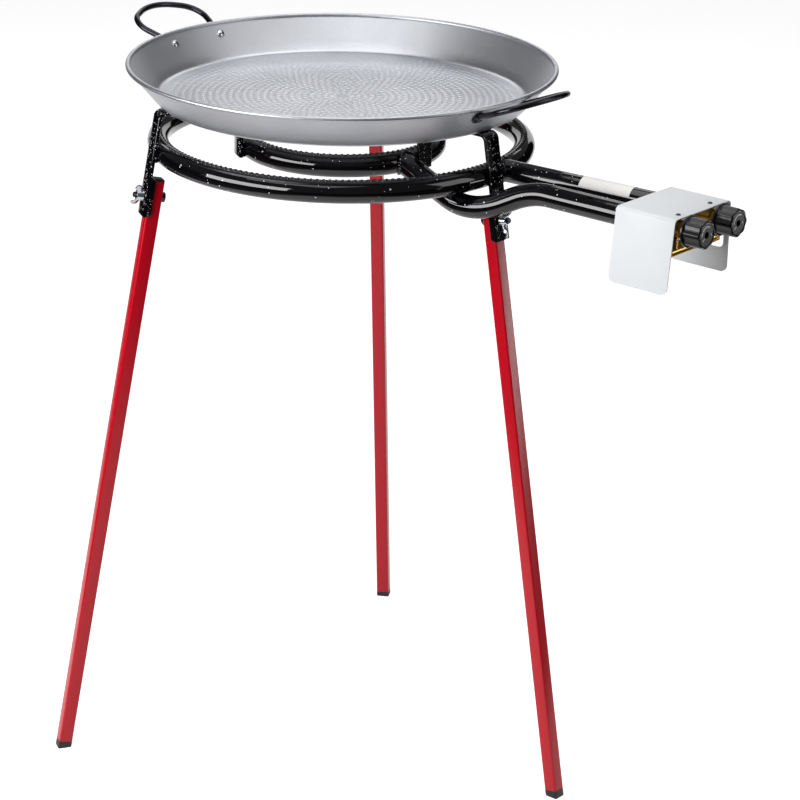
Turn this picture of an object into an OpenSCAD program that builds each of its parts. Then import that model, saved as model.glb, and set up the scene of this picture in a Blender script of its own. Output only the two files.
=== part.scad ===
// Two-ring gas paella burner on three detachable legs, with its pan.
// Origin on the floor under the middle of the rings. +Z is up, and the taps are towards -Y.

/* [Rings] */
// Height of the burner tubes' axis above the floor
ring_z = 676; // [600:1:760]
// Radius of the outer ring's centre line
outer_ring_r = 196; // [190:1:206]
// Radius of the inner ring's centre line
inner_ring_r = 101; // [95:1:109]
// Outside diameter of the burner tubes
tube_d = 24; // [22:0.5:26]
// Wall of the burner tubes
tube_wall = 1.5; // [1.2:0.1:2]
// Diameter of a flame port
port_d = 2.4; // [1.6:0.1:3]
// Flame ports in each row of the outer ring
outer_ports = 72; // [24:1:96]
// Flame ports in each row of the inner ring
inner_ports = 40; // [16:1:48]
// Diameter of the hole where an inlet feeds its ring
feed_d = 16; // [12:0.5:18]
// Lean of the upper row of ports towards the middle, from straight up
port_lean = 28; // [15:1:40]
// Angle between the two rows of ports
port_row_angle = 26; // [20:1:40]

/* [Inlet tubes] */
// Direction in which the inner inlet leaves its ring
inner_inlet_az = -100.3; // [-103:0.1:-99]
// Radius of the inlet tube bends
inlet_bend_r = 72; // [60:1:80]
// Distance beyond the outer ring of the inner inlet's low bend
low_bend_out = 17; // [14:1:20]
// Distance beyond the outer ring of the inner inlet's high bend
high_bend_out = 73; // [70:1:80]
// Sideways place where the outer inlet joins its ring
outer_inlet_x = 30; // [28:1:34]
// Length of the inlet tubes' ends under the control shield
shield_lap = 27; // [20:1:33]
// Thickness of the solid bush that closes a tube's end
bush_t = 6; // [4:0.5:8]
// Length of the air window in each side of a tube
air_window_l = 16; // [10:1:20]
// Height of the air window
air_window_h = 10; // [6:1:12]

/* [Pan] */
// Height of the pan's seat above the ring axis
seat_rise = 47; // [40:1:60]
// Diameter of the pan's flat base
pan_flat_d = 386; // [350:1:392]
// Outside diameter of the rolled rim
pan_rim_d = 460; // [440:1:470]
// Height of the pan over its rim
pan_h = 39; // [34:1:46]
// Thickness of the pan's sheet
pan_t = 1.2; // [1:0.1:1.6]
// Inside radius where the base turns into the wall
pan_corner_r = 8; // [6:0.5:12]
// Diameter of the rolled rim
rim_bead_d = 5; // [4:0.1:6]

/* [Pan handles] */
// Diameter of the handle rod
handle_d = 6.5; // [5:0.1:8]
// Lift of the handles' plane above level
handle_tilt = 21; // [15:1:27]
// Distance between a handle's two rivets
rivet_pitch = 71; // [62:1:78]
// Height of the rivets above the pan's base
rivet_h = 26; // [21:0.5:28]
// Reach of a handle's knees from the rivets
knee_out = 54; // [48:1:60]
// Distance between a handle's knees
knee_w = 104; // [96:1:112]
// Extra reach of a handle's middle past its knees
peak_out = 27; // [22:1:32]
// Bend radius at the knees
knee_r = 26; // [20:1:28]
// Bend radius at the middle
peak_r = 58; // [40:1:62]
// Width of the flattened end round a rivet
pad_w = 14; // [12:0.5:16]
// Thickness of the flattened end
pad_t = 3; // [2.4:0.1:4]
// Diameter of a rivet's shank
rivet_d = 5; // [4:0.1:6]
// Diameter of a rivet's head
rivet_head_d = 9.5; // [8:0.1:11]

/* [Pan supports] */
// Thickness of the strap
strap_t = 4; // [3:0.1:5]
// Middle radius of the strap's bends
strap_bend_r = 7; // [5:0.5:10]
// Reach of the strap's inner end below the ring axis
inner_tail = 8; // [4:1:11]
// Thickness of the socket's cheeks
cheek_t = 3; // [2:0.1:4]
// Depth of the cheeks, measured from the strap's outer face
cheek_depth = 8.5; // [8:0.5:12]
// Radius of the cheeks' corners
cheek_r = 4; // [2:0.5:4]
// Distance from the ring axis down to the socket's bottom end
socket_drop = 68; // [62:1:72]
// Distance from the ring axis down to the socket's cheeks
cheek_drop = 26; // [20:1:30]

/* [Legs] */
// Outward splay of the legs
leg_splay = 10; // [7:0.5:13]
// Side of the square leg tube
leg_w = 15; // [13:0.5:17]
// Wall of the leg tube
leg_wall = 1.5; // [1:0.1:2]
// Radius of the leg tube's outside corners
leg_corner_r = 2; // [1.6:0.1:3]
// Distance from the ring axis down to the top of the leg tube
leg_drop = 29; // [26:1:34]
// Height of a foot
foot_h = 8; // [6:0.5:12]
// Thickness of the cap in a leg's top end
cap_t = 2; // [1.5:0.1:3]
// Length of a foot's spigot
foot_spigot_l = 18; // [10:1:24]
// Length of a cap's spigot, above the bolt
cap_spigot_l = 9; // [6:0.5:10]
// Diameter of a leg bolt
bolt_d = 6; // [5:0.5:7]
// Distance from the ring axis down to the bolt
bolt_drop = 47; // [44:1:50]
// Width of the bolt's head across flats
bolt_head_af = 10; // [8:0.5:12]
// Height of the bolt's head
bolt_head_h = 4; // [3:0.5:5]
// Bolt end that stands out of its nut
bolt_tip = 3; // [1:0.5:6]

/* [Wing nuts] */
// Diameter of the nut's hub at its base
hub_d = 12; // [11:0.5:14]
// Height of the nut's hub
hub_h = 8; // [7:0.5:10]
// Span over the two wings
wing_span = 27; // [24:0.5:32]
// Thickness of a wing
wing_t = 2.6; // [2:0.1:3]
// Diameter of a wing's round end
wing_end_d = 9; // [8:0.5:10]

/* [Control shield] */
// Width over the flaps
shield_w = 97; // [92:1:104]
// Shift of the shield towards the hose, from midway between the taps
shield_shift = 4; // [2:0.5:5]
// Outward lean of the left flap at its lower edge
flap_lean = 9; // [4:0.5:12]
// Length of the shield
shield_l = 71; // [66:1:76]
// Distance from the middle to the shield's inner edge
shield_out = 385; // [380:1:388]
// Height of the flaps
flap_h = 76; // [70:1:84]
// Thickness of the sheet
shield_t = 1.2; // [1:0.1:1.6]
// Middle radius of the sheet's bends
shield_bend_r = 4; // [3:0.5:6]
// Corner radius of the flaps
flap_corner_r = 8; // [4:0.5:12]
// Width of the window for the gas hose
window_w = 24; // [20:1:26]
// Height of the window
window_h = 28; // [22:1:30]
// Corner radius of the window
window_r = 6; // [4:0.5:8]
// Shift of the window from the hose tail towards the rings
window_shift = 4; // [0:0.5:6]
// Diameter of a shield screw's head
screw_head_d = 5; // [4:0.1:5.4]
// Height of a shield screw's head
screw_head_h = 1.4; // [1:0.1:2]
// Diameter of a shield screw's shank
screw_d = 3; // [2:0.1:3]
// Length of a shield screw's shank
screw_l = 8; // [6:0.5:9]

/* [Taps] */
// Sideways place of the inner ring's tap
inner_tap_x = -13; // [-15:0.5:-12]
// Distance between the two taps
tap_pitch = 55; // [52:1:58]
// Diameter of a tap's barrel
barrel_d = 18; // [16:0.5:20]
// Length of a tap's barrel
barrel_l = 20; // [18:0.5:21]
// Length of a tap's outlet neck
neck_l = 15; // [12:0.5:16]
// Diameter of a tap's outlet neck
neck_d = 13; // [12:0.5:14]
// Diameter of a tap's inlet boss
boss_d = 13; // [11:0.5:13]
// Diameter of the pillar under a shield screw
pillar_d = 7; // [6:0.5:8]
// Distance of the pillar from the barrel's front face
pillar_in = 1; // [0.5:0.1:2]
// Width of a gland nut across flats
gland_af = 14; // [12:0.5:16]
// Length of a gland nut
gland_l = 5; // [4:0.5:6]
// Diameter of a tap's spindle
spindle_d = 6; // [5:0.5:7]
// Length of the spindle inside the barrel
spindle_in = 10; // [8:0.5:14]
// Injector thread diameter
jet_d = 8; // [7:0.5:9]
// Width of the injector's hexagon across flats
jet_af = 11; // [10:0.5:12]
// Length of the injector's hexagon
jet_hex_l = 5; // [4:0.5:6]
// Length of the injector's nose inside the tube
jet_nose_l = 7; // [5:0.5:9]
// Diameter of the gas jet
jet_bore = 1.2; // [1:0.1:2]

/* [Knobs] */
// Diameter of the knob's skirt
skirt_d = 33; // [31:0.5:36]
// Thickness of the knob's skirt
skirt_t = 2.5; // [2:0.1:4]
// Diameter of the knob's body
knob_d = 30; // [27:0.5:31]
// Overall length of the knob
knob_l = 22; // [18:0.5:26]
// Number of finger flutes
flutes = 8; // [6:1:10]
// Depth of a flute
flute_depth = 1.1; // [0.5:0.1:1.5]
// Radius of a flute
flute_r = 12; // [8:0.5:14]
// Diameter of the recess in the knob's face
knob_recess_d = 6.4; // [5:0.1:8]
// Solid thickness behind the knob's face
knob_face_t = 5; // [4:0.5:7]
// Free space between gland nut and knob
knob_gap = 4; // [2:0.5:6]

/* [Gas manifold] */
// Distance from the ring axis down to the manifold's axis
manifold_drop = 24; // [21:1:27]
// Outside diameter of the manifold pipe
manifold_d = 14; // [12:0.5:16]
// Wall of the manifold pipe
manifold_wall = 1.5; // [1:0.1:2]
// Length of pipe past each tap
manifold_end = 12; // [10:0.5:13]
// Width of the end fittings across flats
fitting_af = 15; // [14:0.5:16]
// Thickness of the end plug's head
plug_t = 4; // [3:0.5:5]
// Length of the end fittings' spigots
fitting_spigot_l = 8; // [6:0.5:10]
// Length of the hose tail's hexagon
tail_hex_l = 6; // [5:0.5:7]
// Diameter of the hose tail over its barbs
tail_d = 9; // [8:0.5:10]
// Depth of a barb
barb_depth = 0.7; // [0.4:0.1:1]
// Number of barbs
barbs = 3; // [2:1:4]
// Length of one barb
barb_l = 6; // [4:0.5:7]
// Plain length of the hose tail beside its hexagon
tail_land = 9; // [8:0.5:12]
// Bore of the hose tail
tail_bore = 5; // [4:0.5:6]

/* [Fits] */
// Gap at a welded joint, before the weld
weld_gap = 0.1; // [0.05:0.05:0.2]
// Gap round a piece that is pushed or bolted home
fit_gap = 0.1; // [0.05:0.05:0.2]
// Radial running clearance of a turning shaft
run_gap = 0.05; // [0.03:0.01:0.1]
// Radial clearance of a bolt in a drilled hole
bolt_gap = 0.3; // [0.2:0.1:0.5]

/* [Hidden] */

$fn = 64;
tube_r = tube_d / 2;
bore_d = tube_d - 2 * tube_wall;
leg_az = [-90, 30, 150];
handle_az = [-91, 89];

// A straight run is this much fatter than its bends and laps into them, so the two join cleanly
seam = 0.02;
lap = 0.5;
// Cutters reach this far past what they cut
past = 1;

// Supports and legs, in the frame of one leg: X outwards along its bolt, Z up along the leg
strap_x = tube_r + weld_gap;
strap_out = strap_x + strap_t + seam;
support_w = leg_w + 2 * fit_gap + 2 * cheek_t;
leg_x = strap_x - fit_gap - seam - leg_w / 2;
leg_floor = -(ring_z + leg_x * sin(leg_splay)) / cos(leg_splay);
leg_end = leg_floor + foot_h;
leg_bore_w = leg_w - 2 * leg_wall;
leg_bore_r = max(0.2, leg_corner_r - leg_wall);
nut_x = strap_out + run_gap;
bolt_tip_x = nut_x + hub_h + bolt_tip;

// Pan wall, from the base corner to the rim, measured from the pan's underside
seat_z = ring_z + seat_rise;
flat_r = pan_flat_d / 2;
bead_r = rim_bead_d / 2;
bead_at = [pan_rim_d / 2 - bead_r, pan_h - bead_r];
corner_out_r = pan_corner_r + pan_t;
corner_at = [flat_r, corner_out_r];
wall_mid_r = pan_corner_r + pan_t / 2;
to_bead = bead_at - corner_at;
wall_a = atan2(to_bead[1], to_bead[0]) + asin(wall_mid_r / norm(to_bead));
wall_start = corner_at + wall_mid_r * [sin(wall_a), -cos(wall_a)];
wall_l = norm(bead_at - wall_start);
// Radius of the wall's outer face at a height over the pan's underside
function wall_out_r(h) =
    wall_start[0] + (h - wall_start[1]) / tan(wall_a) + pan_t / 2 / sin(wall_a);

// Handle frame: X outwards in the handle's plane, Y along the rim
rivet_wall_r = wall_out_r(rivet_h);
rivet_turn = asin(rivet_pitch / 2 / rivet_wall_r);
handle_at = [rivet_wall_r * cos(rivet_turn), 0, rivet_h + seat_z];
wall_up = [cos(wall_a), 0, sin(wall_a)];
wall_normal = [sin(wall_a), 0, -cos(wall_a)];
// The rod starts where it has come clear of the wall
rod_start = (handle_d / 2 + fit_gap) / sin(wall_a - handle_tilt);
knee_slope = (knee_w / 2 - rivet_pitch / 2) / knee_out;
rod_half = [
    [rod_start, rivet_pitch / 2 + rod_start * knee_slope, 0],
    [knee_out, knee_w / 2, 0],
];
rod_path = [
    rod_half[0], rod_half[1], [knee_out + peak_out, 0, 0],
    flip_y(rod_half[1]), flip_y(rod_half[0]),
];
function flip_y(p) = [p[0], -p[1], p[2]];
// Place of the rod's start as seen from the rivet, up the wall and along the rim
pad_reach = [
    rod_start * cos(wall_a - handle_tilt),
    rod_start * (cos(handle_tilt) * sin(rivet_turn) - knee_slope),
];

// Inlet tubes
outer_tap_x = inner_tap_x + tap_pitch;
low_bend_r = outer_ring_r + low_bend_out;
cross_gap = tube_d + weld_gap;
inlet_from = [inner_ring_r * cos(inner_inlet_az), inner_ring_r * sin(inner_inlet_az), ring_z];
high_bend = [inner_tap_x, -(outer_ring_r + high_bend_out), ring_z];
tube_end_out = shield_out + shield_lap;
tube_end = [inner_tap_x, -tube_end_out, ring_z];
function low_bend(z) = [low_bend_r * cos(inner_inlet_az), low_bend_r * sin(inner_inlet_az), z];
function inlet_path(z) = [inlet_from, low_bend(z), high_bend, tube_end];
// Points on the first straight run and bend of a path
function bend_points(p, r, steps = 24) =
    let (
        a = unit(p[1] - p[0]),
        b = unit(p[2] - p[1]),
        turn = bend_angle(a, b),
        start = p[1] - a * r * tan(turn / 2),
        inward = unit(b - a * (a * b))
    )
    concat(
        [for (i = [0:steps]) p[0] + (start - p[0]) * (0.5 + i / steps / 2)],
        [for (i = [1:steps])
            start + r * (a * sin(turn * i / steps) + inward * (1 - cos(turn * i / steps)))]
    );
function ring_distance(q) = norm([norm([q[0], q[1]]) - outer_ring_r, q[2] - ring_z]);
function crossing(z) = min([for (q = bend_points(inlet_path(z), inlet_bend_r)) ring_distance(q)]);
// Lowers the low bend until the tube just clears the outer ring
function cleared(z, tries = 40) =
    let (short = cross_gap - crossing(z))
    tries == 0 || short <= 0 ? z : cleared(z - max(short, 0.05), tries - 1);
inner_path = inlet_path(cleared(ring_z - tube_d));
outer_from = [outer_inlet_x, -outer_ring_r * cos(asin(outer_inlet_x / outer_ring_r)), ring_z];
outer_path = [outer_from, [outer_tap_x, -tube_end_out, ring_z]];
air_window_y = -tube_end_out + bush_t + past;

// Controls, outwards along -Y
tap_xs = [inner_tap_x, outer_tap_x];
shield_mid_x = (inner_tap_x + outer_tap_x) / 2 + shield_shift;
shield_z = ring_z + tube_r + seam + fit_gap;
flap_bottom = shield_z + shield_t - flap_h;
neck_y = -tube_end_out - jet_hex_l;
barrel_y = neck_y - neck_l;
gland_y = barrel_y - barrel_l;
knob_y = gland_y - gland_l - knob_gap;
pillar_y = gland_y + pillar_in + pillar_d / 2;
manifold_y = barrel_y - barrel_l / 2;
manifold_z = ring_z - manifold_drop;
manifold_x = [inner_tap_x - manifold_end, outer_tap_x + manifold_end];
manifold_bore = manifold_d - 2 * manifold_wall;
window_y = manifold_y + window_shift;
knob_bore_l = knob_l - knob_face_t;

// Vector helpers
function unit(v) = v / norm(v);
function bend_angle(a, b) = acos(max(-1, min(1, a * b)));
// Diameter over the corners of a hexagon
function over_corners(af) = af / cos(30);

// Puts its children in a frame with the given origin, X axis and Z axis
module in_frame(at, x, z) {
    y = cross(z, x);
    multmatrix([
        [x[0], y[0], z[0], at[0]],
        [x[1], y[1], z[1], at[1]],
        [x[2], y[2], z[2], at[2]],
        [0, 0, 0, 1],
    ]) children();
}

// Sweeps a section along straight runs and round bends.
// The first child is the bends' section and the second is the runs', which is a seam fatter.
module sweep(p, r, normal = [0, 0, 1]) {
    last = len(p) - 1;
    dir = [for (i = [0:last - 1]) unit(p[i + 1] - p[i])];
    turn = [for (i = [0:last]) i == 0 || i == last ? 0 : bend_angle(dir[i - 1], dir[i])];
    cut = [for (i = [0:last]) i == 0 || i == last ? 0 : r[i] * tan(turn[i] / 2) - lap];
    for (i = [0:last - 1]) {
        run = norm(p[i + 1] - p[i]) - cut[i] - cut[i + 1];
        in_frame(p[i] + dir[i] * cut[i], unit(cross(normal, dir[i])), dir[i])
            linear_extrude(run) children(1);
    }
    for (i = [1:1:last - 1]) {
        axis = unit(cross(dir[i - 1], dir[i]));
        middle = p[i] + unit(dir[i] - dir[i - 1]) * r[i] / cos(turn[i] / 2);
        in_frame(middle, cross(dir[i - 1], axis), axis)
            rotate_extrude(angle = turn[i]) translate([r[i], 0]) children(0);
    }
}

module swept_rod(p, r, d) {
    sweep(p, r) {
        circle(d = d);
        circle(d = d + 2 * seam);
    }
}

module swept_strip(p, r, t, w, normal) {
    sweep(p, r, normal) {
        square([t, w], center = true);
        square([t + 2 * seam, w + 2 * seam], center = true);
    }
}

module rounded_square(size, r) {
    square([size[0] - 2 * r, size[1]], center = true);
    square([size[0], size[1] - 2 * r], center = true);
    for (x = [-1, 1], y = [-1, 1])
        translate([x * (size[0] / 2 - r), y * (size[1] / 2 - r)]) circle(r = r);
}

// Turns a part built along Z so that it points out along -Y
module outwards(x, y, z) translate([x, y, z]) rotate([90, 0, 0]) children();

module ring_torus(ring_r, d) {
    translate([0, 0, ring_z]) rotate_extrude() translate([ring_r, 0]) circle(d = d);
}

// Tube bent to a ring, with two staggered rows of flame ports. Its children are cut from it.
module ported_ring(ring_r, ports) {
    step = 360 / ports;
    difference() {
        translate([0, 0, ring_z]) rotate_extrude() translate([ring_r, 0]) rotate(-90) difference() {
            circle(d = tube_d);
            circle(d = bore_d);
        }
        for (i = [0:ports - 1], row = [0, 1])
            rotate([0, 0, step * (i + row / 2)]) translate([ring_r, 0, ring_z])
                rotate([0, -port_lean - port_row_angle * row, 0])
                    translate([0, 0, tube_r - 2 * tube_wall]) rotate(45)
                        cylinder(d = port_d, h = 3 * tube_wall);
        children();
    }
}

// Hole in a ring's wall where an inlet feeds it
module feed_hole(from, to) {
    dir = unit(to - from);
    in_frame(from, unit(cross([0, 0, 1], dir)), dir) cylinder(d = feed_d, h = tube_r + past);
}

module outer_ring() {
    color("#161418") ported_ring(outer_ring_r, outer_ports) feed_hole(outer_path[0], outer_path[1]);
}

module inner_ring() {
    color("#161418") ported_ring(inner_ring_r, inner_ports) feed_hole(inner_path[0], inner_path[1]);
}

// Mixing tube: open to its ring, closed by a drilled bush at the tap, with an air window in each side
module inlet_tube(p, r, tap_x, ring_r) {
    last = len(p) - 1;
    dir = unit(p[last] - p[last - 1]);
    bore = [for (i = [0:last]) i == last ? p[i] - dir * bush_t : p[i]];
    longer = [for (i = [0:last]) i == last ? p[i] + dir * past : p[i]];
    difference() {
        swept_rod(longer, r, tube_d);
        swept_rod(bore, r, bore_d);
        ring_torus(ring_r, tube_d + 2 * weld_gap);
        translate([tap_x - tube_d, -tube_end_out - 4 * past, ring_z - tube_d])
            cube([2 * tube_d, 4 * past, 2 * tube_d]);
        outwards(tap_x, -tube_end_out + bush_t + past, ring_z)
            cylinder(d = jet_d + 2 * fit_gap, h = bush_t + 2 * past);
        translate([tap_x - tube_d, air_window_y, ring_z - air_window_h / 2])
            cube([2 * tube_d, air_window_l, air_window_h]);
    }
}

module outer_inlet() {
    color("#161418") inlet_tube(outer_path, [0, 0], outer_tap_x, outer_ring_r);
}

module inner_inlet() {
    color("#161418")
        inlet_tube(inner_path, [0, inlet_bend_r, inlet_bend_r, 0], inner_tap_x, inner_ring_r);
}

// Puts its children in the frame of the leg at the given direction
module at_leg(az) {
    rotate([0, 0, az]) translate([outer_ring_r, 0, ring_z]) rotate([0, -leg_splay, 0]) children();
}

// A point of the leg frame's middle plane, as radius and height
function leg_point(x, z) = [
    outer_ring_r + x * cos(leg_splay) - z * sin(leg_splay),
    0,
    ring_z + x * sin(leg_splay) + z * cos(leg_splay),
];

// Bent strap that carries the pan, joins the two rings and ends in a channel for the leg
module pan_support(az) {
    mid_x = strap_x + strap_t / 2;
    arm_z = seat_z - strap_t / 2 - seam;
    corner_up = (arm_z - ring_z - mid_x * sin(leg_splay)) / cos(leg_splay);
    inner_r = inner_ring_r + tube_r + weld_gap + seam + strap_t / 2;
    path = [
        leg_point(mid_x, -socket_drop),
        leg_point(mid_x, corner_up),
        [inner_r, 0, arm_z],
        [inner_r, 0, ring_z - inner_tail],
    ];
    cheek_h = socket_drop - cheek_drop;
    difference() {
        union() {
            rotate([0, 0, az])
                swept_strip(path, [0, strap_bend_r, strap_bend_r, 0], strap_t, support_w, [0, 1, 0]);
            at_leg(az) for (side = [-1, 1])
                translate([
                    strap_x + strap_t - cheek_depth / 2,
                    side * (support_w - cheek_t) / 2,
                    -(socket_drop + cheek_drop) / 2,
                ])
                    rotate([90, 0, 0]) linear_extrude(cheek_t, center = true)
                        rounded_square([cheek_depth, cheek_h], cheek_r);
        }
        at_leg(az) translate([strap_x - past, 0, -bolt_drop]) rotate([0, 90, 0])
            cylinder(d = bolt_d + 2 * bolt_gap, h = strap_t + 2 * past);
        swept_rod([inner_path[0], inner_path[1]], [0, 0], tube_d + 2 * weld_gap);
    }
}

module leg(az) {
    color("#b3121f") at_leg(az) difference() {
        translate([leg_x, 0, leg_end]) linear_extrude(-leg_drop - leg_end) difference() {
            rounded_square([leg_w, leg_w], leg_corner_r);
            rounded_square([leg_bore_w, leg_bore_w], leg_bore_r);
        }
        translate([leg_x - leg_w, 0, -bolt_drop]) rotate([0, 90, 0])
            cylinder(d = bolt_d + 2 * fit_gap, h = 2 * leg_w);
    }
}

// Plug pushed into the leg's lower end, cut level with the floor
module leg_foot(az) {
    below = leg_w * tan(leg_splay);
    color("#1b1b1d") difference() {
        at_leg(az) {
            translate([leg_x, 0, leg_floor - below]) linear_extrude(foot_h + below)
                rounded_square([leg_w, leg_w], leg_corner_r);
            translate([leg_x, 0, leg_end - past]) linear_extrude(foot_spigot_l + past)
                rounded_square([leg_bore_w - 2 * fit_gap, leg_bore_w - 2 * fit_gap], leg_bore_r);
        }
        rotate([0, 0, az]) translate([outer_ring_r, -leg_w, -leg_w])
            cube([-leg_floor, 2 * leg_w, leg_w]);
    }
}

module leg_cap(az) {
    color("#1b1b1d") at_leg(az) {
        translate([leg_x, 0, -leg_drop]) linear_extrude(cap_t)
            rounded_square([leg_w, leg_w], leg_corner_r);
        translate([leg_x, 0, -leg_drop - cap_spigot_l]) linear_extrude(cap_spigot_l + cap_t / 2)
            rounded_square([leg_bore_w - 2 * fit_gap, leg_bore_w - 2 * fit_gap], leg_bore_r);
    }
}

module leg_bolt(az) {
    head_x = leg_x - leg_w / 2 - bolt_head_h;
    color("#8d9095") at_leg(az) translate([head_x, 0, -bolt_drop]) rotate([0, 90, 0]) {
        cylinder(d = over_corners(bolt_head_af), h = bolt_head_h, $fn = 6);
        cylinder(d = bolt_d, h = bolt_tip_x - head_x);
    }
}

module wing_nut(az) {
    reach = (wing_span - wing_end_d) / 2;
    color("#c3c6ca") at_leg(az) translate([nut_x, 0, -bolt_drop]) rotate([0, 90, 0]) difference() {
        union() {
            cylinder(d1 = hub_d, d2 = hub_d - 2, h = hub_h);
            rotate([90, 0, 0]) linear_extrude(wing_t, center = true) for (side = [-1, 1]) {
                translate([side * reach, hub_h]) circle(d = wing_end_d);
                polygon([
                    [side * hub_d / 4, wing_t / 2],
                    [side * (reach + wing_end_d / 4), hub_h - wing_end_d / 2.4],
                    [side * (reach - wing_end_d / 4), hub_h + wing_end_d / 2.4],
                    [side * hub_d / 4, hub_h - wing_t / 2],
                ]);
            }
        }
        translate([0, 0, -past]) cylinder(d = bolt_d + 2 * run_gap, h = hub_h + wing_end_d);
    }
}

// Half section of the pan, from the middle of its base out to the rim
module pan_section() {
    turn_tip = 2 * corner_out_r;
    square([flat_r + lap / 2, pan_t]);
    translate(corner_at) intersection() {
        difference() {
            circle(r = corner_out_r);
            circle(r = pan_corner_r);
        }
        polygon([
            [0, 0], [0, -turn_tip],
            turn_tip * [sin(wall_a), -1], turn_tip * [sin(wall_a), -cos(wall_a)],
        ]);
    }
    translate(wall_start) rotate(wall_a) translate([-lap / 2, -pan_t / 2 - seam])
        square([wall_l + lap / 2, pan_t + 2 * seam]);
    translate(bead_at) circle(d = rim_bead_d);
}

// Places its children at each rivet of the given handles: Z out through the wall, X up the wall
module at_rivets(azs) {
    for (az = azs, side = [-1, 1])
        rotate([0, 0, az + side * rivet_turn])
            in_frame([rivet_wall_r, 0, seat_z + rivet_h], wall_up, wall_normal) children();
}

module paella_pan() {
    color("#b9bcc0") difference() {
        translate([0, 0, seat_z]) rotate_extrude($fn = 180) pan_section();
        at_rivets(handle_az) translate([0, 0, -4 * pan_t])
            cylinder(d = rivet_d + 2 * fit_gap, h = 6 * pan_t);
    }
}

// Flattened end of a handle, lying on the wall from its rivet to the start of the rod
module handle_pad(side) {
    end = [pad_reach[0], side * pad_reach[1]];
    slant = atan2(end[1], end[0]);
    translate([0, 0, fit_gap]) linear_extrude(pad_t) {
        circle(d = pad_w);
        translate(end) circle(d = handle_d);
        rotate(slant) polygon([
            [0, -pad_w / 2 + seam], [norm(end), -handle_d / 2 + seam],
            [norm(end), handle_d / 2 - seam], [0, pad_w / 2 - seam],
        ]);
    }
}

// The rod's ends are spot faced where the rivet heads sit
module pan_handle(az) {
    color("#3a3a3e") difference() {
        union() {
            rotate([0, 0, az]) translate(handle_at) rotate([0, -handle_tilt, 0]) {
                swept_rod(rod_path, [0, knee_r, peak_r, knee_r, 0], handle_d);
                for (p = [rod_path[0], rod_path[4]]) translate(p) sphere(d = handle_d);
            }
            for (side = [-1, 1])
                rotate([0, 0, az + side * rivet_turn])
                    in_frame([rivet_wall_r, 0, seat_z + rivet_h], wall_up, wall_normal) handle_pad(side);
        }
        at_rivets([az]) {
            translate([0, 0, -past]) cylinder(d = rivet_d + 2 * fit_gap, h = pad_t + handle_d);
            translate([0, 0, pad_t + fit_gap - seam])
                cylinder(d = rivet_head_d + 2 * fit_gap, h = handle_d);
        }
    }
}

module rivet() {
    head_h = rivet_head_d / 4;
    inside = -pan_t - 2 * seam - fit_gap;
    outside = pad_t + 2 * fit_gap;
    translate([0, 0, inside - head_h / 4]) cylinder(d = rivet_d, h = outside - inside + head_h / 2);
    translate([0, 0, inside]) rotate([180, 0, 0]) domed_head(rivet_head_d, head_h);
    translate([0, 0, outside]) domed_head(rivet_head_d, head_h / 2);
}

// Cap of a sphere, flat side down
module domed_head(d, h) {
    ball_r = (d * d / 4 + h * h) / (2 * h);
    intersection() {
        translate([0, 0, h - ball_r]) sphere(r = ball_r);
        cylinder(d = 2 * d, h = 2 * h);
    }
}

module pan_rivets() {
    color("#d3d5d8") at_rivets(handle_az) rivet();
}

module control_shield() {
    half = (shield_w - shield_t) / 2;
    top = shield_z + shield_t / 2 + seam;
    mid_y = -shield_out - shield_l / 2;
    path = [
        [shield_mid_x - half - flap_lean, mid_y, flap_bottom], [shield_mid_x - half, mid_y, top],
        [shield_mid_x + half, mid_y, top], [shield_mid_x + half, mid_y, flap_bottom],
    ];
    color("#f2f3f3") difference() {
        swept_strip(path, [0, shield_bend_r, shield_bend_r, 0], shield_t, shield_l, [0, 1, 0]);
        for (side = [-1, 1])
            translate([shield_mid_x, mid_y + side * shield_l / 2, flap_bottom]) rotate([90, 0, 90])
                linear_extrude(2 * shield_w, center = true) flap_corner(side);
        translate([shield_mid_x + half, window_y, manifold_z]) rotate([90, 0, 90])
            linear_extrude(4 * shield_t, center = true) rounded_square([window_w, window_h], window_r);
        for (x = tap_xs)
            translate([x, pillar_y, shield_z - past])
                cylinder(d = screw_d + 2 * fit_gap, h = shield_t + 2 * past);
    }
}

// What is cut from a flap's lower corner to round it
module flap_corner(side) {
    r = flap_corner_r;
    difference() {
        translate([side * (past - r) / 2, (r - past) / 2]) square(r + past, center = true);
        translate([-side * r, r]) circle(r = r);
    }
}

module shield_screws() {
    head_z = shield_z + shield_t + 2 * seam + fit_gap;
    color("#2a2a2c") for (x = tap_xs) translate([x, pillar_y, head_z]) {
        domed_head(screw_head_d, screw_head_h);
        translate([0, 0, -screw_l]) cylinder(d = screw_d, h = screw_l + screw_head_h / 4);
    }
}

module gas_manifold() {
    run = manifold_x[1] - manifold_x[0];
    color("#c9a13c") difference() {
        translate([manifold_x[0], manifold_y, manifold_z]) rotate([0, 90, 0])
            cylinder(d = manifold_d, h = run);
        translate([manifold_x[0] - past, manifold_y, manifold_z]) rotate([0, 90, 0])
            cylinder(d = manifold_bore, h = run + 2 * past);
        for (x = tap_xs) translate([x, manifold_y, manifold_z]) cylinder(d = tail_bore, h = manifold_d);
    }
}

module manifold_plug() {
    color("#c9a13c") translate([manifold_x[0], manifold_y, manifold_z]) rotate([0, 90, 0]) {
        translate([0, 0, -plug_t]) cylinder(d = over_corners(fitting_af), h = plug_t, $fn = 6);
        translate([0, 0, -plug_t / 2])
            cylinder(d = manifold_bore - 2 * fit_gap, h = fitting_spigot_l + plug_t / 2);
    }
}

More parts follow.
